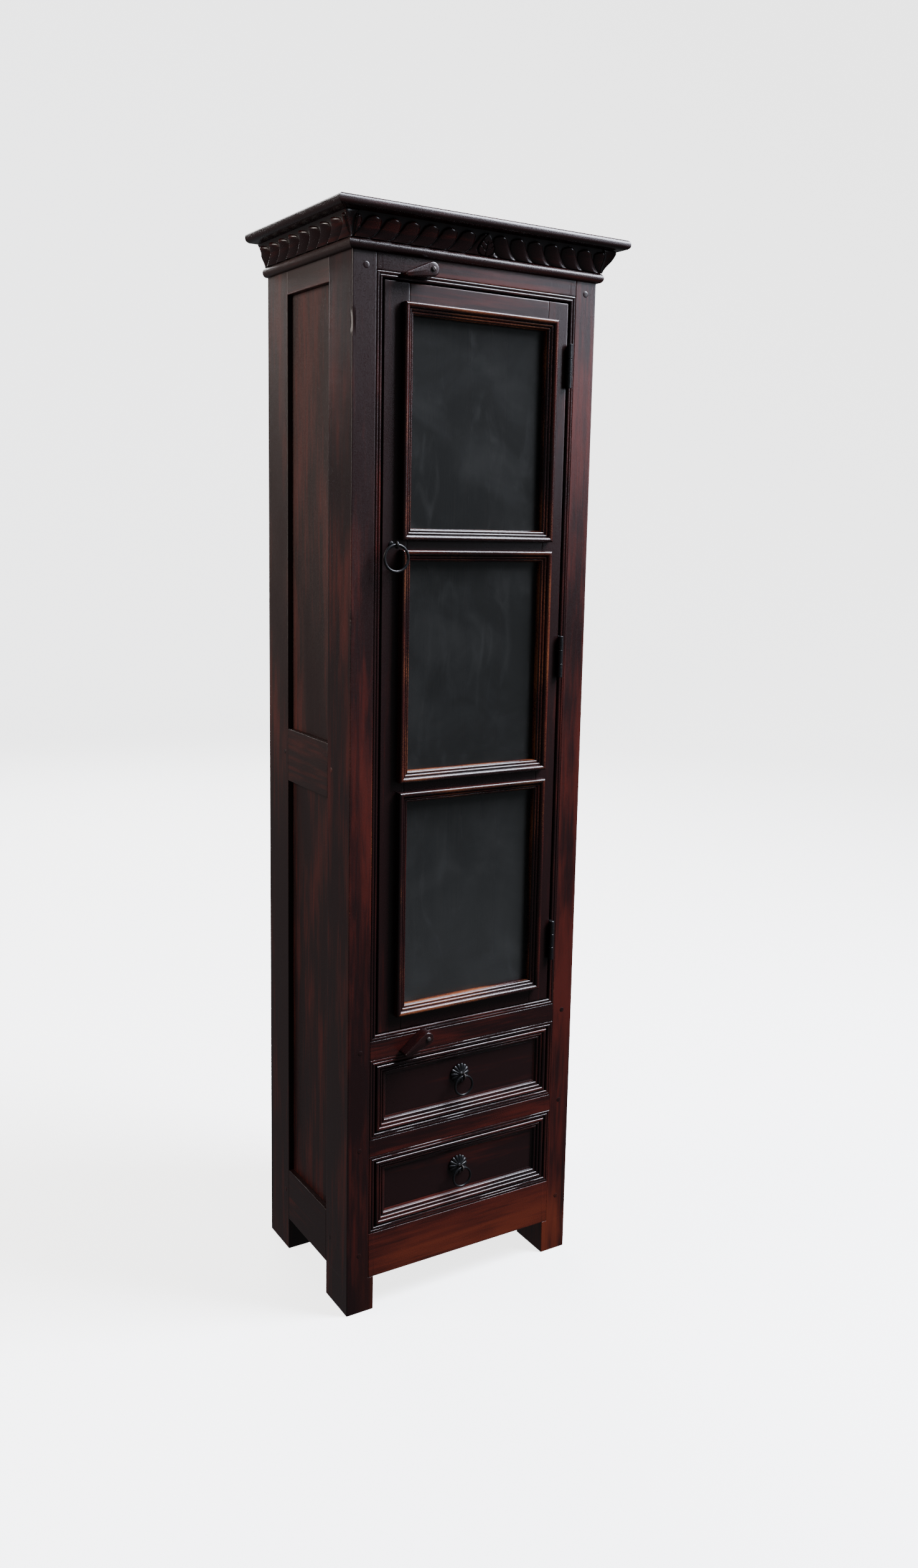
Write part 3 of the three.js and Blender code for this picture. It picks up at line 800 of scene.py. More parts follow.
class MakeFrontRails(bpy.types.Operator):
    """The top rail, the middle rail, the rail between the drawers and the apron, with the beads let in"""

    bl_idname = "display_case.front_rails"
    bl_label = "Front rails"

    OPENINGS = {
        "door_opening_bead": ("front_middle_rail", "front_top_rail"),
        "upper_drawer_opening_bead": ("drawer_divider_rail", "front_middle_rail"),
        "lower_drawer_opening_bead": ("front_apron", "drawer_divider_rail"),
    }

    REDNESS = {
        "front_top_rail": 0.45,
        "front_middle_rail": 0.66,
        "drawer_divider_rail": 0.72,
        "front_apron": 0.9,
    }

    def execute(self, context):
        sizes = context.scene.case_sizes
        width, depth = sizes.bead_width, sizes.bead_depth
        half = POST_RIGHT[X][0]
        seam = 0.15 * MM
        across = (-half - width + seam, half + width - seam)
        for node, beads in (
            ("front_top_rail", (True, False)),
            ("front_middle_rail", (True, True)),
            ("drawer_divider_rail", (True, True)),
            ("front_apron", (False, True)),
        ):
            box = edges_of(node)
            low, high = box[Z]
            face = [
                across,
                (FACE_Y, FACE_Y + depth),
                (low + (width if beads[0] else 0), high - (width if beads[1] else 0)),
            ]
            cuts = []
            if beads[0]:
                cuts.append([(-half, half), (FACE_Y - MM, FACE_Y + depth), (low - MM, low + width)])
            if beads[1]:
                cuts.append([(-half, half), (FACE_Y - MM, FACE_Y + depth), (high - width, high + MM)])
            solid = Solid(f"{node}_board")
            add_board(solid, [box, face], cuts)
            solid.piece(lacquer(X, gloss=0.29, redness=self.REDNESS[node]), CASE, [node])
        for name, (below, above) in self.OPENINGS.items():
            low = edges_of(below)[Z][1] - width
            high = edges_of(above)[Z][0] + width
            solid = Solid(name)
            add_mitred_frame(solid, across, (low + seam, high - seam), FACE_Y, OPENING_BEAD)
            solid.piece([lacquer(X, gloss=0.2), lacquer(Z, gloss=0.26)], CASE)
        return {"FINISHED"}


class MakeSides(bpy.types.Operator):
    """Each side's top rail, middle rail, apron and two recessed panels, and the back panel"""

    bl_idname = "display_case.sides"
    bl_label = "Sides and back"

    def execute(self, context):
        for side in ("left", "right"):
            for part in ("top_rail", "middle_rail", "apron"):
                solid = Solid(f"{side}_side_{part}")
                add_board(solid, [edges_of(f"{side}_{part}")])
                solid.piece(lacquer(Y, side=True, gloss=0.38), CASE, [f"{side}_{part}"])
            snug = 0.27 * MM
            for part in ("upper_panel", "lower_panel"):
                solid = Solid(f"{side}_side_{part}")
                (x0, x1), (y0, y1), (z0, z1) = edges_of(f"{side}_{part}")
                box = (x0, x1), (y0 - snug, y1 + snug), (z0 - snug, z1 + snug)
                add_board(solid, [box], radius=0.3 * MM)
                solid.piece(lacquer(Z, side=True, gloss=0.36, redness=0.55), CASE, [f"{side}_{part}"])
        solid = Solid("back_boards")
        (x0, x1), depth, height = edges_of("back_panel")
        boards, gap = 4, 0.2 * MM
        for k in range(boards):
            edge = [x0 + (x1 - x0) * (k + i) / boards for i in (0, 1)]
            add_board(solid, [[(edge[0] + gap, edge[1] - gap), depth, height]], radius=0.8 * MM)
            if k:
                across = (edge[0] - 3 * MM, edge[0] + 3 * MM)
                add_board(solid, [[across, (depth[0] + 3 * MM, depth[1] - 3 * MM), height]], radius=0.2 * MM)
        solid.piece(bare_wood(Z), CASE, ["back_panel"])
        return {"FINISHED"}


class MakeInside(bpy.types.Operator):
    """Shelves, the cabinet floor and the boards that the drawers run on"""

    bl_idname = "display_case.inside"
    bl_label = "Shelves and inner boards"

    def execute(self, context):
        for node, name in (
            ("upper_shelf", "upper_shelf_board"),
            ("lower_shelf", "lower_shelf_board"),
            ("cabinet_floor", "cabinet_floor_board"),
            ("drawer_dust_board", "drawer_dust_panel"),
            ("base_board", "base_panel"),
        ):
            solid = Solid(name)
            (x0, x1), (y0, y1), height = edges_of(node)
            middle = y0 + 0.52 * (y1 - y0)
            cuts = shelf_corners(node)
            add_board(solid, [[(x0, x1), (y0, middle - 0.1 * MM), height]], cuts)
            add_board(solid, [[(x0, x1), (middle + 0.1 * MM, y1), height]], cuts)
            if "shelf" in node or node == "cabinet_floor":
                solid.piece(lacquer(X, gloss=0.42, redness=0.6), CASE, [node])
            else:
                solid.piece(bare_wood(X), CASE, [node])
        return {"FINISHED"}


def shelf_corners(node):
    """The corners that a shelf leaves free for the posts."""
    cuts = []
    _, _, (low, high) = edges_of(node)
    slack = 0.3 * MM
    for post in ("front_left_post", "front_right_post", "back_left_post", "back_right_post"):
        (x0, x1), (y0, y1), _ = edges_of(post)
        cuts.append([(x0 - slack, x1 + slack), (y0 - slack, y1 + slack), (low - MM, high + MM)])
    return cuts


class MakeCornice(bpy.types.Operator):
    """The top board with its rounded edging, the half-round bead and the carved frieze between them"""

    bl_idname = "display_case.cornice"
    bl_label = "Cornice"

    FOOT, LIP = 4.2 * MM, 17.6 * MM

    def execute(self, context):
        (x0, x1), (y0, _), (low, high) = TOP_BOARD
        over = x1 - HALF_WIDTH
        inside = 30 * MM
        under, below, above, over_top, thick = 9 * MM, 7 * MM, 9.5 * MM, 6.5 * MM, 16 * MM
        angles = [math.pi / 2 * k / 6 for k in range(1, 6)]
        nose = [(-inside, 0.0), (over - under, 0.0)]
        nose += [(over - under + under * math.sin(a), below * (1 - math.cos(a))) for a in angles]
        nose += [(over, below), (over, above)]
        nose += [(over - over_top * (1 - math.cos(a)), above + over_top * math.sin(a)) for a in angles]
        nose += [(over - over_top, thick), (-inside, thick)]
        profile = [(out, low + up) for out, up in nose]
        wear = [0, 0, 0.1, 0.2, 0.3, 0.5, 0.6, 0.7, 0.8, 0.7, 0.7, 0.6, 0.5, 0.4, 0.3, 0]
        for side in ("left", "front", "right"):
            solid = Solid(f"cornice_{side}_edging")
            add_cornice_run(solid, side, profile, wear)
            axis = X if side == "front" else Y
            solid.piece(lacquer(axis, gloss=0.27, redness=0.35), CASE, ["cornice_top_board"])
        solid = Solid("cornice_top_panel")
        seam = 0.2 * MM
        across = (-HALF_WIDTH + inside + seam, HALF_WIDTH - inside - seam)
        add_board(solid, [[across, (FACE_Y + inside + seam, BACK_Y), (low + MM, high - 0.4 * MM)]])
        solid.piece(lacquer(X, side=True, gloss=0.42), CASE, ["cornice_top_board"])

        cornice = edges_of("cornice_front_moulding")
        bottom = cornice[Z][0]
        radius, seat = 8 * MM, 2.5 * MM
        centre = bottom + radius
        half_round = [(0.3 * MM, bottom), (seat * 0.6, bottom)]
        half_round += [
            (seat + radius * 0.86 * math.cos(a), centre + radius * math.sin(a))
            for a in np.linspace(-math.pi / 2 + 0.15, math.pi / 2 - 0.15, 13)
        ]
        half_round += [(seat * 0.6, bottom + 2 * radius), (0.3 * MM, bottom + 2 * radius)]
        # Wear on the bead's face; the negative values paint shade into the creases above and below the bead.
        rub = [0, -0.8, -0.4, -0.1, 0.1, 0.2, 0.4, 0.5, 0.6, 0.6, 0.6, 0.5, 0.3, 0, -0.6, -0.8, 0]
        for side in ("left", "front", "right"):
            solid = Solid(f"cornice_{side}_bead")
            add_cornice_run(solid, side, half_round, rub)
            axis = X if side == "front" else Y
            finish = lacquer(axis, side=side != "front", gloss=0.26, redness=0.35)
            solid.piece(finish, CASE, [f"cornice_{side}_moulding"])
            solid = Solid(f"cornice_{side}_frieze")
            self.carve(context, solid, side, bottom + 2 * radius + 0.1 * MM, cornice[Z][1])
            solid.piece(lacquer(axis, gloss=0.22, redness=0.42), CASE, [f"cornice_{side}_moulding"])
        return {"FINISHED"}

    def carve(self, context, solid, side, low, high):
        """The carved face of one length of the frieze, closed behind."""
        sizes = context.scene.case_sizes
        rows = 60
        length = 2 * HALF_WIDTH if side == "front" else BACK_Y - FACE_Y
        columns = int(length / (0.8 * MM))
        v = np.linspace(0, 1, rows)[:, None]
        t = np.linspace(-1 if side == "front" else 0, 1, columns)[None, :]
        ground = self.FOOT + (self.LIP - self.FOOT) * (0.62 * v + 0.38 * v**2)
        ridge = ground + self.corner_ridge(v, sizes)
        if side == "front":
            run = t * (HALF_WIDTH + ridge)
            off_corner = HALF_WIDTH + ridge - np.abs(run)
            first = np.where(run < 0, 31.5 * MM, 25 * MM)
            height = self.relief(np.abs(run), off_corner, v, sizes, False, first)
            leaf, cut = self.centre_leaf(run - 1.5 * MM, v, high - low)
            height = height * (1 - leaf) + leaf * (6.2 - 14 * (v - 0.45) ** 2) * MM - cut
        else:
            full = BACK_Y - FACE_Y + ridge
            run = t * full
            off_corner = run
            height = self.relief(run, off_corner, v, sizes, True, 14.6 * MM)
            end = 1 - (0.4 * MM + full - run) / (9 * MM)
            height = height * (1 - smooth(end) * 0.85)
        out = ground + np.maximum(height, 0.0)
        z = np.broadcast_to(low + (high - low) * v, run.shape)
        seat = np.full_like(run, 0.3 * MM)
        if side == "front":
            points = np.stack([run, FACE_Y - out, z], -1)
            behind = np.stack([np.clip(run, -HALF_WIDTH, HALF_WIDTH), FACE_Y - seat, z], -1)
        else:
            sign = -1 if side == "left" else 1
            y = FACE_Y - ridge + run
            points = np.stack([sign * (HALF_WIDTH + out), y, z], -1)
            behind = np.stack([sign * (HALF_WIDTH + seat), np.maximum(y, FACE_Y), z], -1)
        # Painted shade: the ground between the lobes, and each hollow, is darkened.
        shade = 1.1 * (1 - smooth(height / (1.6 * MM)))
        add_relief(solid, points, behind, np.clip(self.hollows(out) - shade, -1.2, 1))

    def corner_ridge(self, v, sizes):
        """How far the leaf's ridge at the mitre stands out."""
        rounded = np.sqrt(1 - np.clip((v - 0.76) / 0.25, 0, 1) ** 2)
        return sizes.lobe_relief * (0.3 + 0.6 * smooth((v - 0.05) / 0.6)) * rounded

    def lobes(self, phase, v, crest, broad):
        """Lobes side by side. crest is where one is highest, and broad is its tip's width."""
        f = phase - np.floor(phase)
        width = broad + (1 - broad) * smooth((0.78 - v) / 0.45)
        f = (f - 0.5) / width + 0.5
        across = np.where(f < crest, (crest - f) / crest, (f - crest) / (1 - crest))
        tip = np.clip((v - 0.7) / (0.2 - 0.05 * across), 0, 1)
        return np.clip(1 - across**2 - tip**2, 0, 1) ** (0.5 + crest**6)

    def relief(self, run, off_corner, v, sizes, side, first):
        """The leaning lobes of one length, and its half of the leaf that wraps the corner."""
        if side:
            pitch, crest, broad, half = sizes.side_pitch, 0.8, 0.68, (2 + 14 * v**1.2) * MM
            lean = pitch * (0.34 * (1 - v) ** 2.2 - 0.3 * np.sin(np.pi * v**0.9))
        else:
            pitch, crest, broad = sizes.front_pitch, 0.56, 0.8
            half = (2 + 22 * v**0.9) * MM
            lean = sizes.lobe_sweep * (1 - np.sqrt(1 - (0.965 * (1 - v)) ** 2))
        amount = sizes.lobe_relief * (0.42 + 0.58 * v)
        body = amount * self.lobes((run - lean - first) / pitch + 0.5, v, crest, broad)
        inside = smooth((half - off_corner) / (1.6 * MM))
        dish = 0.4 + 0.6 * np.clip(1 - off_corner / (half + 1 * MM), 0, 1) ** 3
        leaf = self.corner_ridge(v, sizes) * dish
        groove = np.exp(-(((off_corner - half - 1.2 * MM) / (1.1 * MM)) ** 2)) * 2.2 * MM
        return body * (1 - inside) + leaf * inside - groove * (1 - inside)

    def centre_leaf(self, x, v, height):
        """The pointed leaf in the middle of the front: where it lies, and how deep its lines are cut."""
        top = 0.92
        s = np.clip(v / top, 0, 1)
        half = 15 * MM * np.sin(np.pi * s**0.6) ** 0.8 * (1 - 0.45 * s**1.5)
        inside = smooth((half - np.abs(x)) / (0.9 * MM))
        ring = np.exp(-(((np.abs(x) - half - 1.1 * MM) / (1.2 * MM)) ** 2)) * 4 * MM * (v < top + 0.05)
        z = s * height * top
        stem = np.exp(-((x / (0.7 * MM)) ** 2)) * 1.8 * MM * (s < 0.62)
        veins = 0
        for start in (0.2, 0.46):
            bend = z - start * height * top - 0.55 * np.abs(x) - 14 * x**2
            veins = veins + np.exp(-((bend / (0.75 * MM)) ** 2)) * 1.5 * MM * (np.abs(x) > 0.8 * MM)
        cut = (stem + veins) * inside + ring * (1 - inside)
        return inside, cut

    def hollows(self, out):
        """Wear on the crests and shade in the hollows of a carved face."""
        rows, columns = out.shape
        padded = np.pad(out, 3, mode="edge")
        mean = sum(padded[a : a + rows, b : b + columns] for a in (0, 3, 6) for b in (0, 3, 6)) / 9
        return np.clip((out - mean) / (0.4 * MM), -1.2, 1)


def smooth(t):
    """0 below 0, 1 above 1, and smooth between."""
    t = np.clip(t, 0, 1)
    return t * t * (3 - 2 * t)


def add_relief(solid, front, behind, edge):
    """A closed solid from a grid of carved points and the outline of the flat behind it."""
    rows, columns = front.shape[:2]
    points = front.reshape(-1, 3)
    faces = [
        (r * columns + c, r * columns + c + 1, (r + 1) * columns + c + 1, (r + 1) * columns + c)
        for r in range(rows - 1)
        for c in range(columns - 1)
    ]
    rim = list(range(columns))
    rim += [r * columns + columns - 1 for r in range(1, rows)]
    rim += [(rows - 1) * columns + c for c in range(columns - 2, -1, -1)]
    rim += [r * columns for r in range(rows - 2, 0, -1)]
    back = behind.reshape(-1, 3)[rim]
    start, count = len(points), len(rim)
    for k in range(count):
        n = (k + 1) % count
        faces.append((rim[n], rim[k], start + k, start + n))
    faces.append(tuple(start + k for k in range(count)))
    wear = np.concatenate([edge.ravel(), np.zeros(count)])
    solid.add(np.concatenate([points, back]), faces, wear)


def add_cornice_run(solid, side, profile, wear, pieces=40):
    """One length of a cornice moulding, mitred at the front corners. profile is (distance out, height)."""
    out = np.array([p[0] for p in profile])
    z = np.array([p[1] for p in profile])
    seam = 0.1 * MM
    t = np.linspace(0, 1, pieces)[:, None]
    if side == "front":
        reach = HALF_WIDTH + out - seam
        run = -reach + 2 * reach * t
    else:
        start = FACE_Y - out + seam
        run = start + (BACK_Y - start) * t
    z = np.broadcast_to(z, run.shape)
    wobble = bpy.context.scene.case_sizes.wobble
    rub = np.clip(np.array(wear), 0, 1)
    sink = (wobble * 0.6 + wander(run, solid.name, wobble)) * rub * np.minimum(1, 10 * np.minimum(t, 1 - t))
    if side == "front":
        points = np.stack([run, FACE_Y - (out - sink), z], -1)
    else:
        sign = -1 if side == "left" else 1
        points = np.stack([sign * (HALF_WIDTH + out - sink), run, z], -1)
    solid.add(points, capped_skin(pieces, len(profile)), np.tile(wear, pieces))


class MakePegs(bpy.types.Operator):
    """Round pegs in the joints of posts and rails"""

    bl_idname = "display_case.pegs"
    bl_label = "Pegs"

    TOP_HEIGHT = 1.711

    def execute(self, context):
        radius = context.scene.case_sizes.peg / 2
        solid = Solid("front_joint_pegs")
        heights = [self.TOP_HEIGHT]
        for node in ("front_middle_rail", "drawer_divider_rail", "front_apron"):
            heights.append(sum(edges_of(node)[Z]) / 2)
        for k, height in enumerate(heights):
            for side in (-1, 1):
                drift = 3 * MM * (share("peg", f"{k}{side}") - 0.5)
                spot = (side * (HALF_WIDTH - 22 * MM) + drift, FACE_Y, height + drift)
                add_peg(solid, spot, (0, -1, 0), radius if k == 0 else radius * 0.8)
        solid.piece(lacquer(Y, gloss=0.27, redness=0.4), CASE)
        for side, sign in (("left", -1), ("right", 1)):
            solid = Solid(f"{side}_joint_pegs")
            for node in (f"{side}_top_rail", f"{side}_middle_rail", f"{side}_apron"):
                _, (y0, y1), (z0, z1) = edges_of(node)
                for y in (y0 - 14 * MM, y1 + 14 * MM):
                    spot = (sign * HALF_WIDTH, y, (z0 + z1) / 2 + 4 * MM)
                    add_peg(solid, spot, (sign, 0, 0), radius * 0.8)
            solid.piece(lacquer(X, side=True, gloss=0.36), CASE)
        return {"FINISHED"}


def add_peg(solid, spot, axis, radius):
    """One peg, cut off just proud of the face and rounded over."""
    proud = 0.45 * MM
    profile = [(radius, -4 * MM), (radius, 0.05 * MM)]
    profile += [(radius * across, proud * up) for across, up in ((0.9, 0.6), (0.55, 1), (0.2, 1.05))]
    add_turned(solid, spot, axis, profile, 24, [0, -1, 0.6, 0.3, 0.2])


class MakeDoor(bpy.types.Operator):
    """The door's stiles and rails, the stepped mouldings round its panes and the glass"""

    bl_idname = "display_case.door"
    bl_label = "Door"

    def execute(self, context):
        for node, axis in (
            ("door_latch_stile", Z),
            ("door_hinge_stile", Z),
            ("door_top_rail", X),
            ("door_upper_mid_rail", X),
            ("door_lower_mid_rail", X),
            ("door_bottom_rail", X),
        ):
            solid = Solid(f"{node}_board")
            add_board(solid, [edges_of(node)], radius=0.7 * MM)
            solid.piece(lacquer(axis, gloss=0.32, redness=0.42), "door", [node])
        for level in ("upper", "middle", "lower"):
            across, _, up = edges_of(f"{level}_pane_moulding")
            solid = Solid(f"{level}_pane_reeding")
            add_mitred_frame(solid, across, up, FACE_Y, PANE_MOULDING, 44)
            lying = lacquer(X, gloss=0.22, redness=0.55, wear=0.8)
            standing = lacquer(Z, gloss=0.27, redness=0.62, wear=0.8)
            solid.piece([lying, standing], "door", [f"{level}_pane_moulding"])
            box = edges_of(f"{level}_glass")
            solid = Solid(f"{level}_window_pane")
            add_board(solid, [box], radius=0.35 * MM)
            solid.piece(pane_glass(level, across, up), "door", [f"{level}_glass"])
        return {"FINISHED"}


class MakeHinges(bpy.types.Operator):
    """Three iron butt hinges: a frame leaf with the pin and outer knuckles, and a door leaf each"""

    bl_idname = "display_case.hinges"
    bl_label = "Hinges"

    LEAF, BARREL, PIN, BORE, GAP = 1.5 * MM, 4.5 * MM, 1.9 * MM, 2.3 * MM, 0.3 * MM

    def execute(self, context):
        for level in ("upper", "middle", "lower"):
            (x0, x1), (y0, y1), (low, high) = edges_of(f"{level}_hinge_frame_leaf")
            pin_x, pin_y = (x0 + x1) / 2, y0 + self.BARREL
            third = (high - low) / 3
            plate_y = (FACE_Y + 0.5 * MM, y1)
            tab_y = (pin_y, FACE_Y + 1.5 * MM)
            jamb, stile = POST_RIGHT[X][0], edges_of("door_hinge_stile")[X][1]
            frame_x = (jamb - self.GAP - self.LEAF, jamb - self.GAP)
            door_x = (stile + self.GAP, stile + self.GAP + self.LEAF)
            solid = Solid(f"{level}_hinge_frame_half")
            for a, b in ((low, low + third), (high - third, high)):
                add_tube(solid, (pin_x, pin_y, (a + b) / 2), self.BORE, self.BARREL, third / 2 - 0.15 * MM)
                add_board(solid, [[frame_x, tab_y, (a + 0.2 * MM, b - 0.2 * MM)]], radius=0.25 * MM)
            add_board(solid, [[frame_x, plate_y, (low, high)]], radius=0.4 * MM)
            neck, soft = self.PIN * 0.6, 0.5 * MM
            pin = [(neck, low), (self.PIN, low + soft), (self.PIN, high - soft), (neck, high)]
            add_turned(solid, (pin_x, pin_y, 0), (0, 0, 1), pin)
            solid.piece(black_iron(), CASE, [f"{level}_hinge_frame_leaf"])
            solid = Solid(f"{level}_hinge_door_half")
            a, b = low + third + 0.3 * MM, high - third - 0.3 * MM
            add_tube(solid, (pin_x, pin_y, (a + b) / 2), self.BORE, self.BARREL, (b - a) / 2)
            add_board(solid, [[door_x, tab_y, (a + 0.2 * MM, b - 0.2 * MM)]], radius=0.25 * MM)
            add_board(solid, [[door_x, plate_y, (low, high)]], radius=0.4 * MM)
            solid.piece(black_iron(), "door", [f"{level}_hinge_door_leaf"])
        return {"FINISHED"}


def add_eye(solid, spot, wire, ring_wire, root_y):
    """A forged eye that holds a ring: a small loop on a shank."""
    loop = ring_wire + 0.75 * MM + wire
    add_ring(solid, spot, (1, 0, 0), loop, wire, 36, 12)
    x, y, z = spot
    front = y + loop
    radius = wire * 1.25
    root = front - root_y
    shank = [(1.35, root), (1.05, root * 0.6), (0.95, -0.2 * MM), (0.6, 0.4 * MM)]
    add_turned(solid, (x, front, z), (0, -1, 0), [(radius * across, up) for across, up in shank], 20)


def add_hung_ring(solid, node):
    """A pull's ring, hanging from the middle of its top. Gives back that point and the wire's radius."""
    (x0, x1), (y0, y1), (z0, z1) = edges_of(node)
    wire = (y1 - y0) / 2
    radius = (z1 - z0) / 2 - wire
    spot = ((x0 + x1) / 2, (y0 + y1) / 2, z1 - wire)
    add_ring(solid, (spot[0], spot[1], spot[2] - radius), (0, 1, 0), radius, wire, uneven=0.03)
    return spot, wire


class MakePulls(bpy.types.Operator):
    """The door's ring and eye, and each drawer's scalloped rosette with its eye and ring"""

    bl_idname = "display_case.pulls"
    bl_label = "Ring pulls"

    def execute(self, context):
        solid = Solid("door_pull_ring")
        spot, wire = add_hung_ring(solid, "door_ring")
        solid.piece(black_iron(), "door_ring", ["door_ring"])
        solid = Solid("door_pull_staple")
        root = DOOR_FACE_Y - 0.3 * MM
        add_eye(solid, spot, 1.6 * MM, wire, root)
        plate = [(5.0 * MM, 0), (5.0 * MM, 0.7 * MM), (4.4 * MM, 1.3 * MM), (2.2 * MM, 1.9 * MM)]
        add_turned(solid, (spot[0], root, spot[2]), (0, -1, 0), plate, 32, [0, 1, 0.8, -0.6])
        solid.piece(black_iron(), "door", ["door_pull_eye"])
        for level in ("upper", "lower"):
            solid = Solid(f"{level}_drawer_ring_pull")
            spot, wire = add_hung_ring(solid, f"{level}_drawer_pull_ring")
            solid.piece(black_iron(), f"{level}_drawer_ring", [f"{level}_drawer_pull_ring"])
            base = edges_of(f"{level}_drawer_pull_rosette")[Y][1]
            solid = Solid(f"{level}_drawer_rosette")
            self.add_rosette(solid, (spot[0], base, spot[2]), 18 * MM)
            solid.piece(black_iron(), f"{level}_drawer", [f"{level}_drawer_pull_rosette"])
            solid = Solid(f"{level}_drawer_pull_eye")
            add_eye(solid, spot, 1.5 * MM, wire, base - 5 * MM)
            solid.piece(screw_steel(), f"{level}_drawer")
        return {"FINISHED"}

    def add_rosette(self, solid, spot, radius, petals=14):
        """A pressed dome of rounded petals round a small boss."""
        rings, spokes = 26, petals * 12
        angle = 2 * np.pi * np.arange(spokes) / spokes
        petal = np.abs(np.cos(petals * angle / 2)) ** 0.6
        t = np.linspace(0.04, 1, rings)[:, None]
        reach = radius * t * (1 - 0.11 * (1 - petal) * smooth(t))
        dome = 5.2 * MM * np.sqrt(np.clip(1 - (0.97 * t) ** 2, 0, 1))
        flute = smooth((t - 0.22) / 0.3)
        height = 0.9 * MM + dome - 1.5 * MM * (1 - petal) * flute * (0.4 + 0.6 * t)
        height = height + 1.4 * MM * smooth((0.26 - t) / 0.1)
        height = np.maximum(height, 0.35 * MM)
        x = spot[0] + reach * np.cos(angle)
        z = spot[2] + reach * np.sin(angle)
        points = np.stack([x, spot[1] - height, z], -1)
        rim = np.stack([x[-1], np.full(spokes, spot[1]), z[-1]], -1)[None]
        points = np.concatenate([points, rim])
        wear = np.concatenate([np.tile((petal - 0.55) * 1.6, rings), np.zeros(spokes)])
        solid.add(points, capped_skin(rings + 1, spokes), wear)


class MakeDrawers(bpy.types.Operator):
    """Each drawer: a stepped, mitred front with a flat panel, and a box of plain boards behind it"""

    bl_idname = "display_case.drawers"
    bl_label = "Drawers"

    def execute(self, context):
        seam = 0.1 * MM
        inset = 22 * MM + seam
        wall, floor, gap = 12 * MM, 8 * MM, 0.15 * MM
        for level in ("upper", "lower"):
            body = f"{level}_drawer"
            across, (_, y1), up = edges_of(f"{level}_drawer_front")
            solid = Solid(f"{level}_drawer_moulding")
            add_mitred_frame(solid, across, up, FACE_Y, DRAWER_MOULDING, 36)
            solid.piece(
                [lacquer(X, gloss=0.2, redness=0.6, wear=0.45), lacquer(Z, gloss=0.27, redness=0.5)],
                body, [f"{level}_drawer_front"],
            )
            solid = Solid(f"{level}_drawer_panel")
            within = [(low + inset, high - inset) for low, high in (across, up)]
            add_board(solid, [[within[0], (FACE_Y + 9.3 * MM, y1), within[1]]], radius=0.25 * MM)
            solid.piece(lacquer(X, gloss=0.34, redness=0.3), body, [f"{level}_drawer_front"])
            (x0, x1), (b0, b1), (low, high) = edges_of(f"{level}_drawer_box")
            solid = Solid(f"{level}_drawer_case")
            for a, b in ((x0, x0 + wall), (x1 - wall, x1)):
                add_board(solid, [[(a, b), (b0, b1), (low, high)]])
            between = (x0 + wall + gap, x1 - wall - gap)
            for a, b in ((b0, b0 + wall), (b1 - wall, b1)):
                add_board(solid, [[between, (a, b), (low, high)]])
            add_board(solid, [[between, (b0 + wall + gap, b1 - wall - gap), (low + MM, low + MM + floor)]])
            solid.piece(bare_wood(Y), body, [f"{level}_drawer_box"])
        return {"FINISHED"}


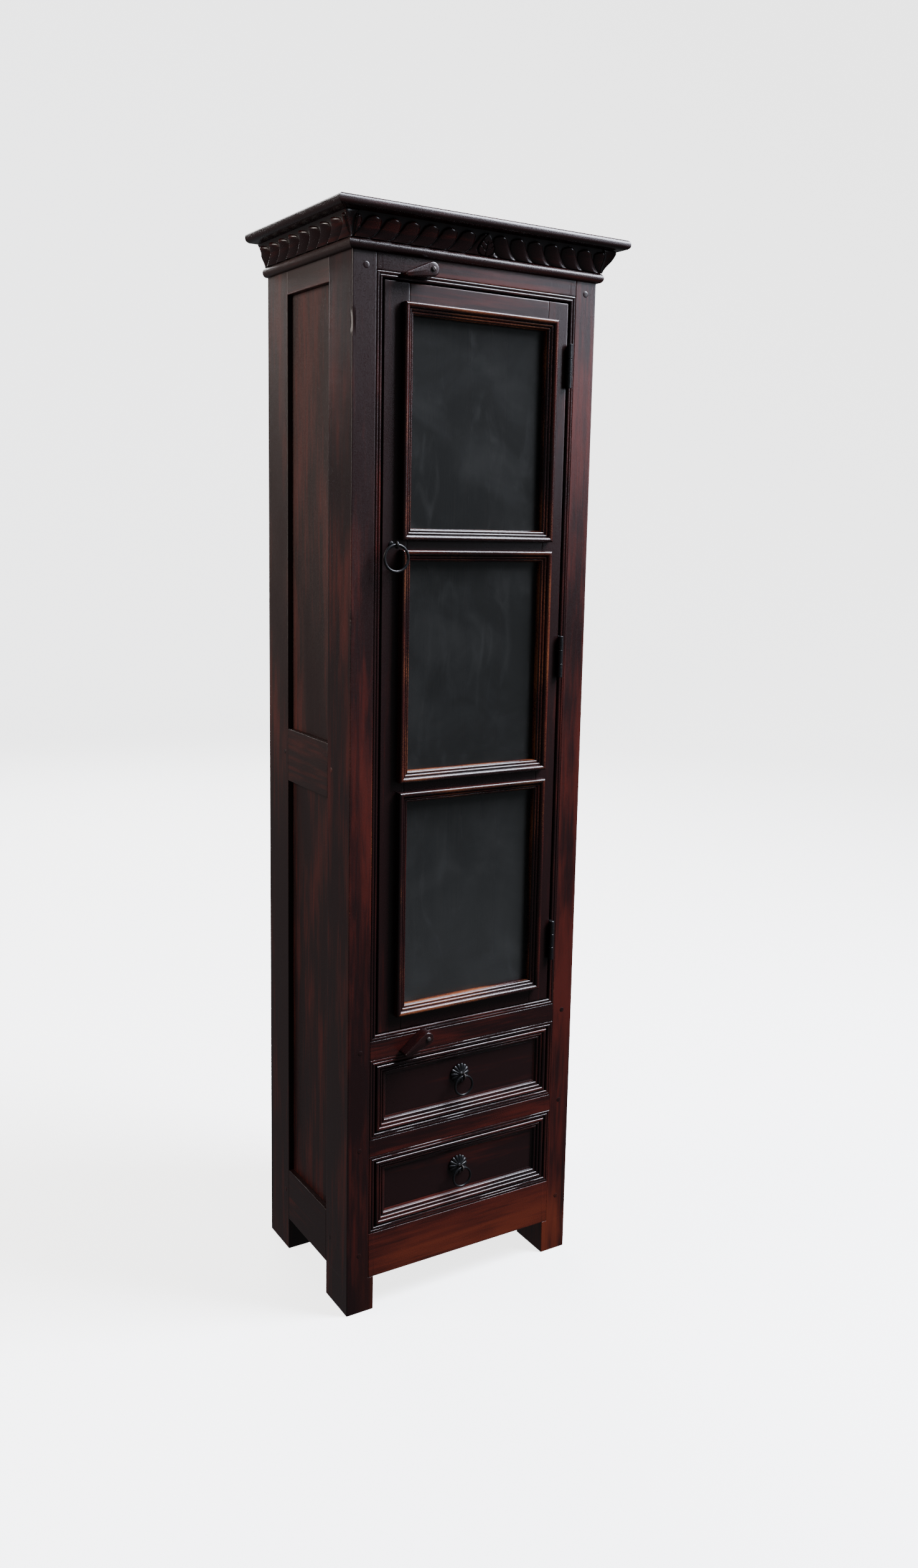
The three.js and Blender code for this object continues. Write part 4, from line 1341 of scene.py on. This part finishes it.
class MakeTurnButtons(bpy.types.Operator):
    """Two drop-shaped wooden turn buttons, each on its screw"""

    bl_idname = "display_case.turn_buttons"
    bl_label = "Turn buttons"

    HEAD, TIP, REACH = 11 * MM, 3.5 * MM, 44.5 * MM
    TURNED = {"upper": 75.0, "lower": 62.0}
    SLOT_TURNS = {"upper": 0.7, "lower": 2.2}
    GRAIN = {"upper": Z, "lower": X}
    HOLE = 2.6 * MM

    def outline(self, shrink):
        """The drop's outline, shrunk evenly, with its tip down."""
        head, tip = self.HEAD - shrink, self.TIP - shrink * 0.6
        slope = math.asin((head - tip) / self.REACH)
        big = np.linspace(-slope, math.pi + slope, 40)
        small = np.linspace(math.pi + slope, 2 * math.pi - slope, 13)
        edge = [(head * math.cos(a), head * math.sin(a)) for a in big]
        edge += [(tip * math.cos(a), tip * math.sin(a) - self.REACH) for a in small]
        down, back = (
            [np.array(start) + (np.array(end) - np.array(start)) * k / 6 for k in range(1, 6)]
            for start, end in ((edge[39], edge[40]), (edge[-1], edge[0]))
        )
        return np.array([*edge[:40], *down, *edge[40:], *back])

    def execute(self, context):
        for level, turned in self.TURNED.items():
            (sx0, sx1), (head_y, _), (sz0, sz1) = edges_of(f"{level}_turn_button_screw")
            x, z = (sx0 + sx1) / 2, (sz0 + sz1) / 2
            _, (y0, y1), _ = edges_of(f"{level}_turn_button")
            levels = [(0.8, y1), (0.0, y1 - 0.9 * MM), (0.0, y0 + 2.6 * MM), (0.35, y0 + 1.2 * MM)]
            levels += [(1.1, y0 + 0.4 * MM), (2.4, y0)]
            rings = [(self.outline(shrink * MM), y) for shrink, y in levels]
            base = rings[0][0]
            angle = np.arctan2(base[:, 1], base[:, 0])
            hole = self.HOLE * np.stack([np.cos(angle), np.sin(angle)], -1)
            rings = [*rings, (hole, y0), (hole, y1)]
            turn = math.radians(turned)
            points = []
            for loop, y in rings:
                px = loop[:, 0] * math.cos(turn) + loop[:, 1] * math.sin(turn)
                pz = -loop[:, 0] * math.sin(turn) + loop[:, 1] * math.cos(turn)
                points.append(np.stack([x + px, np.full(len(loop), y), z + pz], -1))
            # Wear on the front edge; the -0.5 at the screw hole paints shade on the face round the screw
            # head.
            wear = np.repeat([0, 0.2, 0.3, 0.9, 1.0, 0.3, -0.5, 0], len(base))
            solid = Solid(f"{level}_button")
            solid.add(np.concatenate(points), skin(len(rings), len(base), closed=True), wear)
            finish = lacquer(self.GRAIN[level], gloss=0.3, redness=0.6, wear=0.4)
            solid.piece(finish, f"{level}_turn_button", [f"{level}_turn_button"])
            solid = Solid(f"{level}_button_screw")
            face = y0 - 0.3 * MM
            slot_turn = self.SLOT_TURNS[level]
            add_screw_head(solid, (x, face, z), 4 * MM, face - head_y, slot_turn, 2 * MM, y1 - y0)
            solid.piece(screw_steel(), CASE, [f"{level}_turn_button_screw"])
        return {"FINISHED"}


# each soft light: name, place, target, width and height, power, colour
LIGHTS = (
    ("window_above", (1.9, -1.5, 3.9), (0.0, -0.15, 0.9), (1.3, 2.6), 660.0, (0.84, 0.88, 1.0)),
    ("window_left", (-3.1, 1.0, 2.5), (0, 0, 1.1), (1.6, 2.4), 150.0, (1.0, 0.92, 0.85)),
    ("window_right", (2.7, -2.5, 2.3), (0, -0.15, 1.5), (0.8, 1.5), 34.0, (0.8, 0.86, 1.0)),
    ("window_behind", (0.8, 4.4, 3.0), (0, 0, 1.0), (3.0, 2.0), 220.0, (1.0, 1.0, 1.0)),
)
SKY, SKY_STRENGTH = (0.93, 0.96, 1.0), 0.13
FLOOR_MOTTLE, FLOOR_GLOW = (0.8, 0.8, 0.8), 3.0
CAMERA_PLACE = (-1.1113, -1.9916, 1.3445)
CAMERA_TURN, CAMERA_DIP, CAMERA_ROLL = (math.radians(a) for a in (-32.949, 9.3, 1.5225))
CAMERA_LENS, CAMERA_SHIFT = 30.13, (-0.0358, -0.0328)


class MakeStage(bpy.types.Operator):
    """The pale floor, the soft lights and the camera"""

    bl_idname = "display_case.stage"
    bl_label = "Studio"

    def execute(self, context):
        self.lay_floor(context.scene)
        self.hang_lights(context.scene)
        self.place_camera(context.scene)
        return {"FINISHED"}

    def lay_floor(self, scene):
        """A round floor that bends up into a wall."""
        mesh = bpy.data.meshes.new("studio_floor")
        radius, rise, bend, spokes = 8.0, 8.0, 2.5, 96
        flat = radius - bend
        curve = np.linspace(0.1, math.pi / 2, 16)
        rows = [(0.01, 0.0), (flat, 0.0)]
        rows += [(flat + bend * math.sin(a), bend - bend * math.cos(a)) for a in curve]
        rows += [(radius, rise)]
        turns = [2 * math.pi * k / spokes for k in range(spokes)]
        points = [(reach * math.cos(a), reach * math.sin(a), z) for reach, z in rows for a in turns]
        mesh.from_pydata(points, [], capped_skin(len(rows), spokes, last_cap=False))
        for face in mesh.polygons:
            face.use_smooth = True
        look = Look("studio_floor")
        spot = look.node("ShaderNodeTexCoord", output="Object")
        mottle = look.noise(spot, 3.0, 3.0)
        tint = look.mix(mottle * 0.06, scene.case_colours.floor, FLOOR_MOTTLE)
        white = (1.0, 1.0, 1.0, 1.0)
        look.surface(Base_Color=tint, Roughness=0.9, Emission_Color=white, Emission_Strength=FLOOR_GLOW)
        mesh.materials.append(look.material)
        floor = bpy.data.objects.new("studio_floor", mesh)
        floor.visible_glossy = False
        floor.visible_diffuse = False
        scene.collection.objects.link(floor)

    def hang_lights(self, scene):
        """A dim, even sky and the soft window lights."""
        scene.world = bpy.data.worlds.new("studio_world")
        scene.world.use_nodes = True
        sky = scene.world.node_tree.nodes["Background"]
        sky.inputs["Color"].default_value = rgba(SKY)
        sky.inputs["Strength"].default_value = SKY_STRENGTH
        for name, place, target, size, power, colour in LIGHTS:
            light = bpy.data.lights.new(name, "AREA")
            light.shape = "RECTANGLE"
            light.size, light.size_y = size
            light.energy = power
            light.color = colour
            lamp = bpy.data.objects.new(name, light)
            lamp.location = place
            lamp.rotation_euler = (Vector(target) - Vector(place)).to_track_quat("-Z", "Y").to_euler()
            scene.collection.objects.link(lamp)

    def place_camera(self, scene):
        """The camera, at eye level to the left of the case."""
        level = math.cos(CAMERA_DIP)
        back = Vector((math.sin(CAMERA_TURN) * level, -math.cos(CAMERA_TURN) * level, math.sin(CAMERA_DIP)))
        right = Vector((math.cos(CAMERA_TURN), math.sin(CAMERA_TURN), 0))
        up = back.cross(right)
        tilted = right * math.cos(CAMERA_ROLL) + up * math.sin(CAMERA_ROLL)
        upright = up * math.cos(CAMERA_ROLL) - right * math.sin(CAMERA_ROLL)
        lens = bpy.data.cameras.new("view")
        lens.lens = CAMERA_LENS
        lens.sensor_width = 36.0
        lens.sensor_fit = "AUTO"
        lens.shift_x, lens.shift_y = CAMERA_SHIFT
        camera = bpy.data.objects.new("view", lens)
        rows = [(tilted[k], upright[k], back[k], CAMERA_PLACE[k]) for k in range(3)]
        camera.matrix_world = Matrix([*rows, (0, 0, 0, 1)])
        scene.collection.objects.link(camera)
        scene.camera = camera


MAKERS = (
    MakeStage,
    MakePosts,
    MakeFrontRails,
    MakeSides,
    MakeInside,
    MakeCornice,
    MakePegs,
    MakeDoor,
    MakeHinges,
    MakePulls,
    MakeDrawers,
    MakeTurnButtons,
)


class CasePanel(bpy.types.Panel):
    """Lists the makers in the sidebar"""

    bl_idname = "VIEW3D_PT_display_case"
    bl_label = "Display case"
    bl_space_type = "VIEW_3D"
    bl_region_type = "UI"
    bl_category = "Display case"

    def draw(self, context):
        for maker in MAKERS:
            self.layout.operator(maker.bl_idname)
        for group in (context.scene.case_sizes, context.scene.case_colours):
            for name in group.bl_rna.properties.keys():
                if name not in ("rna_type", "name"):
                    self.layout.prop(group, name)


CLASSES = (CaseSizes, CaseColours, *MAKERS, CasePanel)


def register():
    for made in CLASSES:
        bpy.utils.register_class(made)
    bpy.types.Scene.case_sizes = bpy.props.PointerProperty(type=CaseSizes)
    bpy.types.Scene.case_colours = bpy.props.PointerProperty(type=CaseColours)


def unregister():
    del bpy.types.Scene.case_sizes
    del bpy.types.Scene.case_colours
    for made in reversed(CLASSES):
        bpy.utils.unregister_class(made)


def main():
    """Makes the whole case, one operator after another."""
    register()
    for maker in MAKERS:
        category, name = maker.bl_idname.split(".")
        getattr(getattr(bpy.ops, category), name)()


if __name__ == "__main__":
    main()
